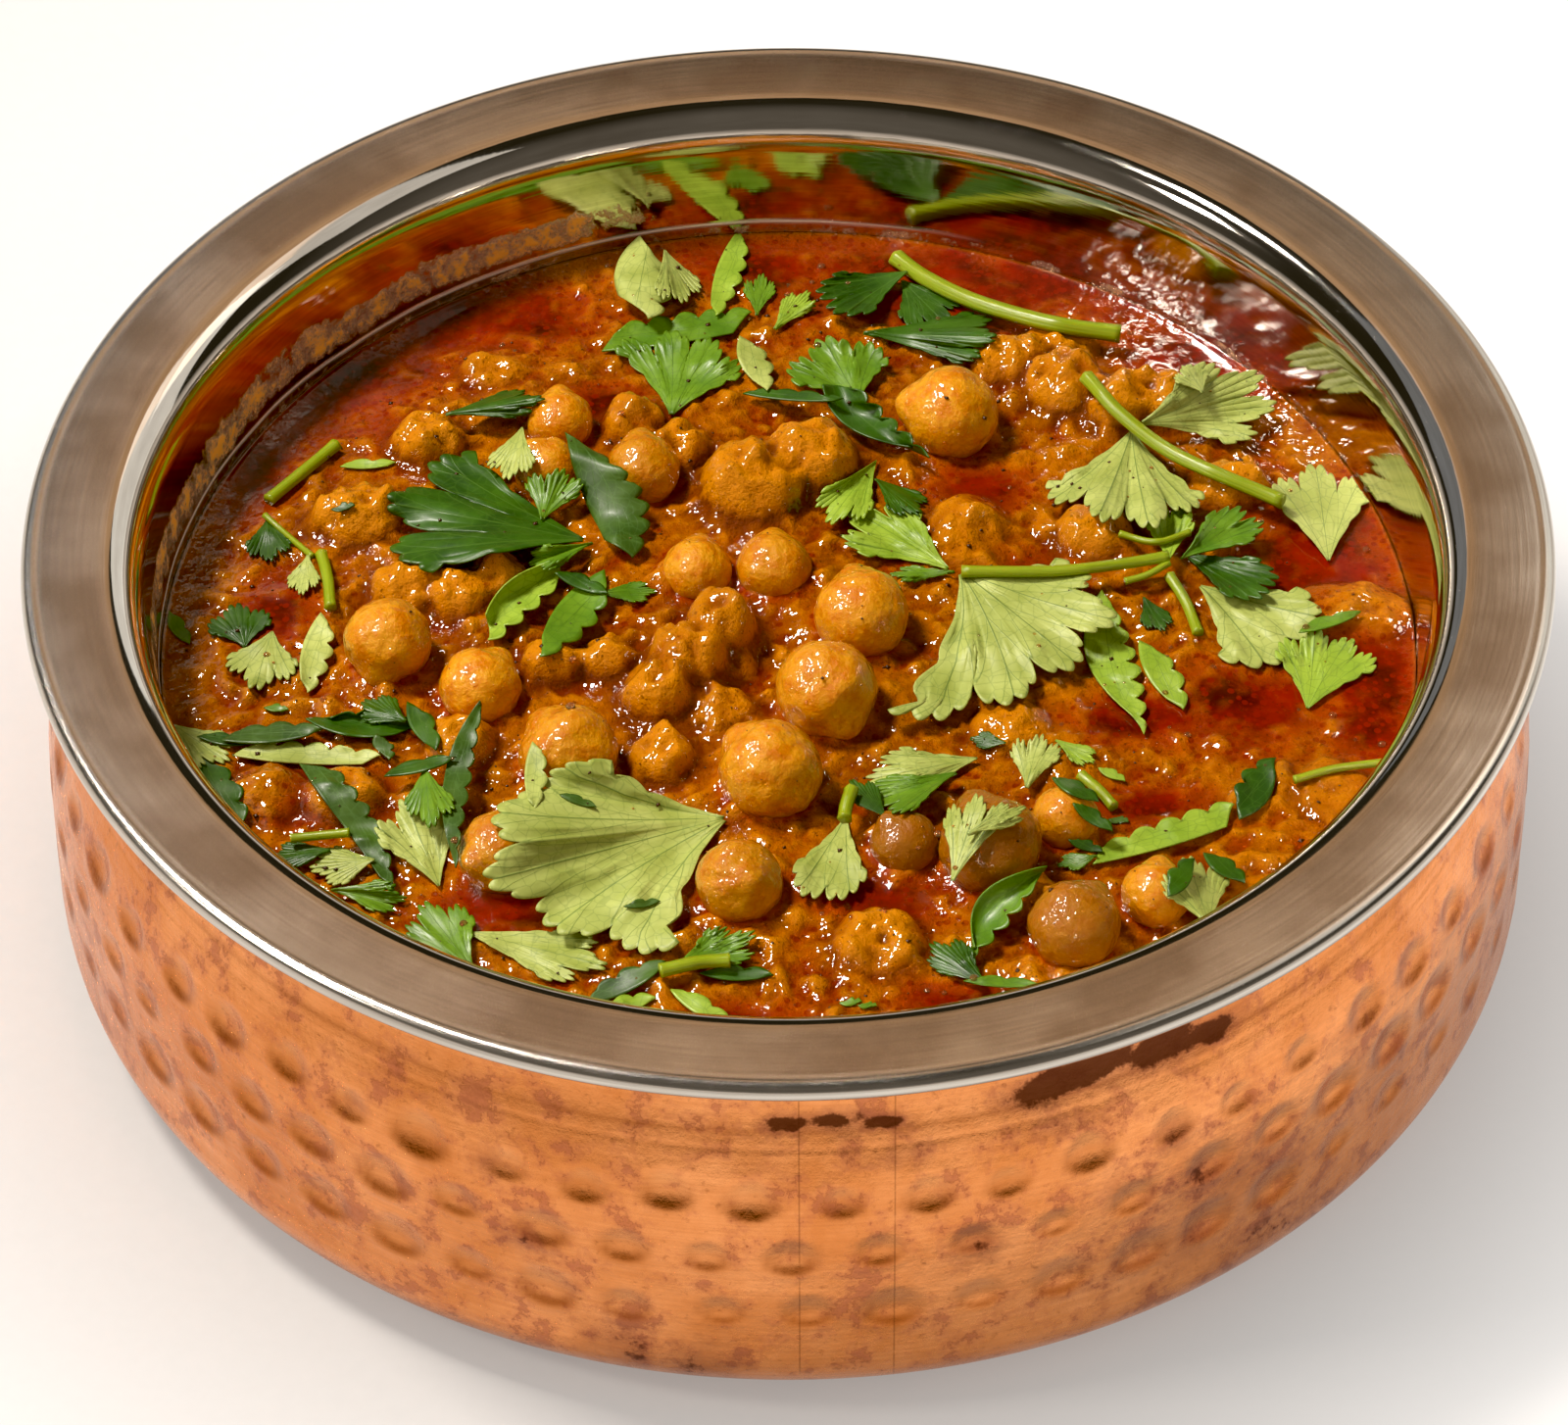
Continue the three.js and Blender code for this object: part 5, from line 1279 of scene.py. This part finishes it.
def leaf_mesh(plan, seed, lift=0.0, curl=0.0):
    """A leaf on its plan: curl raises its far or side edges, or its middle if it is negative, and a slow
    wave lifts it here and there."""
    x, y, edge, pleat, uv = plan
    size = np.hypot(np.ptp(x), np.ptp(y))
    rise = curl * edge**2 if curl > 0 else -curl * (1 - edge**2)
    wave = 0.035 * size * (0.6 + drift(x + 31 * seed, y, size / 1.8, 61))
    wave = wave + 0.1 * drift(x, y + 17 * seed, 3.1, 63) + pleat * min(1, size / 20)
    z = draped(x, y, lift + rise + (wave + np.hypot(wave, 0.15)) / 2)
    places, faces, uv, upper = thin_mesh(on_sight(x, y, z), LEAF_THICK, uv)
    lay(upper)
    return places, faces, uv


for n, leaf in enumerate(LEAVES):
    make_plan, size = (fan_plan, leaf["fan"]) if "fan" in leaf else (blade_plan, leaf["blade"])
    more = {k: leaf[k] for k in ("lobes", "notch", "sides", "ends", "bow") if k in leaf}
    plan = make_plan(size, leaf["at"], leaf["to"], **more)
    places, faces, uv = leaf_mesh(plan, n, leaf.get("lift", 0), leaf.get("curl", 0))
    name = f"leaf_{n + 1:02d}"
    add_piece(f"{name}_skin", places, faces, TONES[leaf["tone"]], [name], uv=uv)

small = {tone: [] for tone in TONES}
for make_plan, table in ((fan_plan, SMALL_FANS), (blade_plan, SMALL_BLADES)):
    for n, (size, at, to, tone) in enumerate(table):
        small[tone].append(leaf_mesh(make_plan(size, at, to, detail=0.6), 50 + n))
for tone, parts in small.items():
    places, faces, uv = join_meshes(parts)
    add_piece(f"small_leaf_pieces_{tone}", places, faces, TONES[tone], uv=uv)


def smooth_line(points, steps):
    """Even places on a smooth line through the given ones: each stretch is a cubic whose slopes at its ends
    are half the step from the place before to the place after."""
    p = np.array(points, float)
    p = np.concatenate([[2 * p[0] - p[1]], p, [2 * p[-1] - p[-2]]])
    t = np.linspace(0, len(points) - 1, steps)
    i = np.minimum(t.astype(int), len(points) - 2)
    f = (t - i)[:, None]
    a, b, c, d = p[i], p[i + 1], p[i + 2], p[i + 3]
    return 0.5 * (2 * b + (c - a) * f + (2 * a - 5 * b + 4 * c - d) * f**2 + (3 * b - a - 3 * c + d) * f**3)


def stalk_mesh(thick, points, steps=46, around=18):
    """A ribbed round section carried along a line that lies stiffly on the cover, closed by flat cut ends."""
    seen = smooth_line(points, steps)
    x, y = seen[:, :1], seen[:, 1:]
    z = draped(x, y, thick / 2 - LEAF_GAP, STALK_STEEPEST, rounds=40)
    path = on_sight(x, y, z)[:, 0]
    ahead = np.gradient(path, axis=0)
    ahead /= np.linalg.norm(ahead, axis=1, keepdims=True)
    side = np.cross(ahead, [0, 0, 1])
    side /= np.linalg.norm(side, axis=1, keepdims=True)
    over = np.cross(side, ahead)
    turn = np.linspace(0, 2 * math.pi, around, endpoint=False)
    share = np.linspace(0, 1, steps)
    radius = thick / 2 * np.outer(1 + 0.12 * np.abs(2 * share - 1) ** 6, 1 + 0.07 * np.cos(5 * turn))
    round_it = side[:, None] * np.cos(turn)[None, :, None] + over[:, None] * np.sin(turn)[None, :, None]
    tube = path[:, None] + radius[..., None] * round_it
    places = np.concatenate([tube.reshape(-1, 3), path[:1], path[-1:]])
    faces = closed_faces(steps, around, len(places) - 2, len(places) - 1)
    faces = [face[::-1] for face in faces]
    length = np.concatenate([[0], np.cumsum(np.linalg.norm(np.diff(path, axis=0), axis=1))])
    uv = np.stack(np.broadcast_arrays(turn[None, :] / 2, length[:, None]), -1).reshape(-1, 2)
    lay(tube)
    return places, faces, np.concatenate([uv, uv[:1], uv[-1:]])


for n, (thick, points) in enumerate(STALKS):
    places, faces, uv = stalk_mesh(thick, points)
    name = f"stalk_{n + 1:02d}"
    add_piece(f"{name}_skin", places, faces, STALK, [name], uv=uv)
places, faces, uv = join_meshes([stalk_mesh(thick, points, 30, 10) for thick, points in THIN_STALKS])
add_piece("thin_stalks", places, faces, STALK, uv=uv)


# ---- specks and bubbles -------------------------------------------------------------------------
def scattered(count, seed, wanted):
    """Random places on the gravy, kept where a random number is under the share that is wanted there."""
    chance = np.random.default_rng(seed)
    x, y, keep = chance.uniform(-1, 1, (3, count * 12))
    x, y = x * SPECK_REACH, y * SPECK_REACH
    kept = (np.hypot(x, y) < SPECK_REACH) & (np.abs(keep) < wanted(x, y))
    return x[kept][:count], y[kept][:count], chance


def pepper():
    """Grains of eight faces, stretched and turned at random, each lying on what is highest there, fewer
    where oil stands."""
    x, y, chance = scattered(PEPPER_COUNT, 71, lambda x, y: 0.75 - 0.6 * oil_share(x, y))
    count = len(x)
    corners = np.array([[1, 0, 0], [0, 1, 0], [-1, 0, 0], [0, -1, 0], [0, 0, 1], [0, 0, -1.0]])
    upper = [[0, 1, 4], [1, 2, 4], [2, 3, 4], [3, 0, 4]]
    triangles = np.array(upper + [[b, a, 5] for a, b, _ in upper])
    size = 0.1 + 0.26 * chance.uniform(0, 1, (count, 1, 1)) ** 3
    stretch = chance.uniform(0.7, 1.4, (count, 6, 1))
    turn = chance.uniform(0, 2 * math.pi, count)
    grains = corners[None] * size * stretch * [1.2, 1, 0.7]
    c, s = np.cos(turn)[:, None], np.sin(turn)[:, None]
    px, py = grains[..., 0] * c - grains[..., 1] * s, grains[..., 0] * s + grains[..., 1] * c
    z = cover_at(x, y)[:, None] + grains[..., 2] + 0.02
    places = np.stack([x[:, None] + px, y[:, None] + py, z], -1).reshape(-1, 3)
    faces = (triangles[None] + 6 * np.arange(count)[:, None, None]).reshape(-1, 3)
    add_piece("pepper_grains", places, faces.tolist(), SPICE)


def bubbles():
    """Small domes, most of them where the oil's edge is: five rings and a top, closed by a flat foot."""

    def on_shores(x, y):
        share = oil_share(x, y)
        return 0.1 + 0.7 * share * (1 - share) * 4

    x, y, chance = scattered(BUBBLE_COUNT, 81, on_shores)
    count = len(x)
    size = 0.14 + 0.42 * chance.uniform(0, 1, count) ** 4
    down = np.linspace(math.pi / 2, 0.3, BUBBLE_ROWS)[:, None]
    turn = np.linspace(0, 2 * math.pi, BUBBLE_AROUND, endpoint=False)[None, :]
    dome = [np.sin(down) * np.cos(turn), np.sin(down) * np.sin(turn), 0.7 * np.cos(down) + 0 * turn]
    dome = np.concatenate([np.stack(dome, -1).reshape(-1, 3), [[0, 0, 0.7], [0, 0, 0]]])
    faces = closed_faces(BUBBLE_ROWS, BUBBLE_AROUND, len(dome) - 1, len(dome) - 2)
    places = dome[None] * size[:, None, None]
    places[..., 0] += x[:, None]
    places[..., 1] += y[:, None]
    places[..., 2] += cover_at(x, y)[:, None] - 0.03
    joined = [[n + len(dome) * k for n in face] for k in range(count) for face in faces]
    add_piece("oil_bubbles", places.reshape(-1, 3), joined, BUBBLE)


pepper()
bubbles()


# ---- table, room and lamps ----------------------------------------------------------------------
TABLE_SIZE = 1.6
TABLE_DOWN = 0.0003  # how far the table lies under the bowl, so that the two don't share a plane
LAMP_AIM = (0, 0, 0.04)

# Lamps: name, place and size in metres, power in watts, colour, and whether only the metal reflects it. Two
# soft lights stand on the left, and a broad one without a highlight fills in from the front.
LAMPS = [
    ("high_key", (-0.53, 0.24, 1.03), (0.24, 0.22), 17, "fff6ec", False),
    ("low_key", (-0.87, -0.2, 0.76), (0.2, 0.2), 5, "fff6ec", False),
    ("front_fill", (0.5, -0.8, 1.1), (1.2, 1.2), 3.5, "fff2e4", False),
    ("right_back_panel", (0.66, 0.74, 0.62), (0.9, 0.9), 2.6, "fbf8f2", True),
    ("high_back_panel", (0.34, 0.76, 1.09), (1.25, 0.42), 0.98, "ffcc9c", True),
    ("high_right_panel", (0.66, 0.25, 1.05), (1.0, 0.64), 1.5, "fffaf2", True),
    ("left_back_panel", (-0.52, 0.85, 0.75), (0.8, 0.7), 0.45, "e6ecf6", True),
]


def white_table():
    """White paper with a painted glow, so that the copper reflects a bright table: it glows softly, least
    under and round the bowl, where the dimming is a painted shadow, and at the left and far away.
    """
    material, tree, shader = finish("white_table_with_painted_glow", Roughness=0.9, Specular_IOR_Level=0.0)
    place = put(tree, COORDINATES).outputs["Object"]
    paper = put(tree, NOISE, {"Vector": place, "Scale": per_mm(2)})
    base = put(tree, MIX, {0: paper, 6: colour("949290"), 7: colour("9a9896")}, **RGBA)
    away = put(tree, VECTOR, {0: place}, operation="LENGTH")
    # Painted shadow: the glow is dimmest under and round the bowl.
    shade = put(tree, MAP, {0: away, 1: 0.068, 2: 0.124, 3: 0.2, 4: 0.72})
    fading = put(tree, MAP, {0: away, 1: 0.16, 2: 0.42, 3: 1.0, 4: 0.5})
    level = put(tree, MAP, {0: put(tree, SPLIT, {0: place}), 1: -0.12, 2: 0.14, 3: 0.78, 4: 1.3})
    # The glow is painted light on the table, brighter to the right and fading far away.
    glow = put(tree, MATH, {0: shade, 1: fading}, operation="MULTIPLY")
    glow = put(tree, MATH, {0: glow, 1: level}, operation="MULTIPLY")
    wire(tree, shader, {"Base Color": base, "Emission Color": colour("fffdfa"), "Emission Strength": glow})
    bpy.ops.mesh.primitive_plane_add(size=TABLE_SIZE, location=(0, 0, -TABLE_DOWN))
    floor = bpy.context.object
    floor.name = "floor"
    floor.data.materials.append(material)


def dim_room():
    """A dim room with a pale band of wall at the horizon, and a little lighter towards the front."""
    world = bpy.data.worlds.new("room")
    world.use_nodes = True
    tree = world.node_tree
    _, y, z = put(tree, SPLIT, {0: put(tree, COORDINATES).outputs["Generated"]}).outputs
    band = put(tree, MAP, {0: z, 1: 0.06, 2: 0.2, 3: 0.9, 4: 0.03})
    front = put(tree, MAP, {0: y, 1: 0.0, 2: -0.6, 3: 0.0, 4: 0.12})
    both = put(tree, MATH, {0: band, 1: front}, operation="ADD")
    wire(tree, tree.nodes["Background"], {"Strength": both, "Color": colour("f2e6da")})
    bpy.context.scene.world = world


def lamps():
    """Every lamp points at the food. The dim panels are flagged off it, so only the metal reflects them."""
    metal = bpy.data.collections.new("seen_by_the_metal")
    for skin in ("copper_shell_skin", "steel_liner_skin"):
        metal.objects.link(bpy.data.objects[skin])
    for name, place, size, power, tint, flagged in LAMPS:
        lamp = bpy.data.lights.new(name, "AREA")
        lamp.shape, lamp.size, lamp.size_y = "RECTANGLE", *size
        lamp.energy = power
        lamp.color = colour(tint)[:3]
        holder = bpy.data.objects.new(name, lamp)
        bpy.context.scene.collection.objects.link(holder)
        holder.location = place
        aim = Vector(LAMP_AIM) - Vector(place)
        holder.rotation_euler = aim.to_track_quat("-Z", "Y").to_euler()
        holder.visible_glossy = name != "front_fill"
        if flagged:
            holder.light_linking.receiver_collection = metal


white_table()
dim_room()
lamps()
view = bpy.context.scene.view_settings
view.view_transform = "Standard"
view.use_curve_mapping = True
view.curve_mapping.black_level = (0.002, 0.003, 0.007)
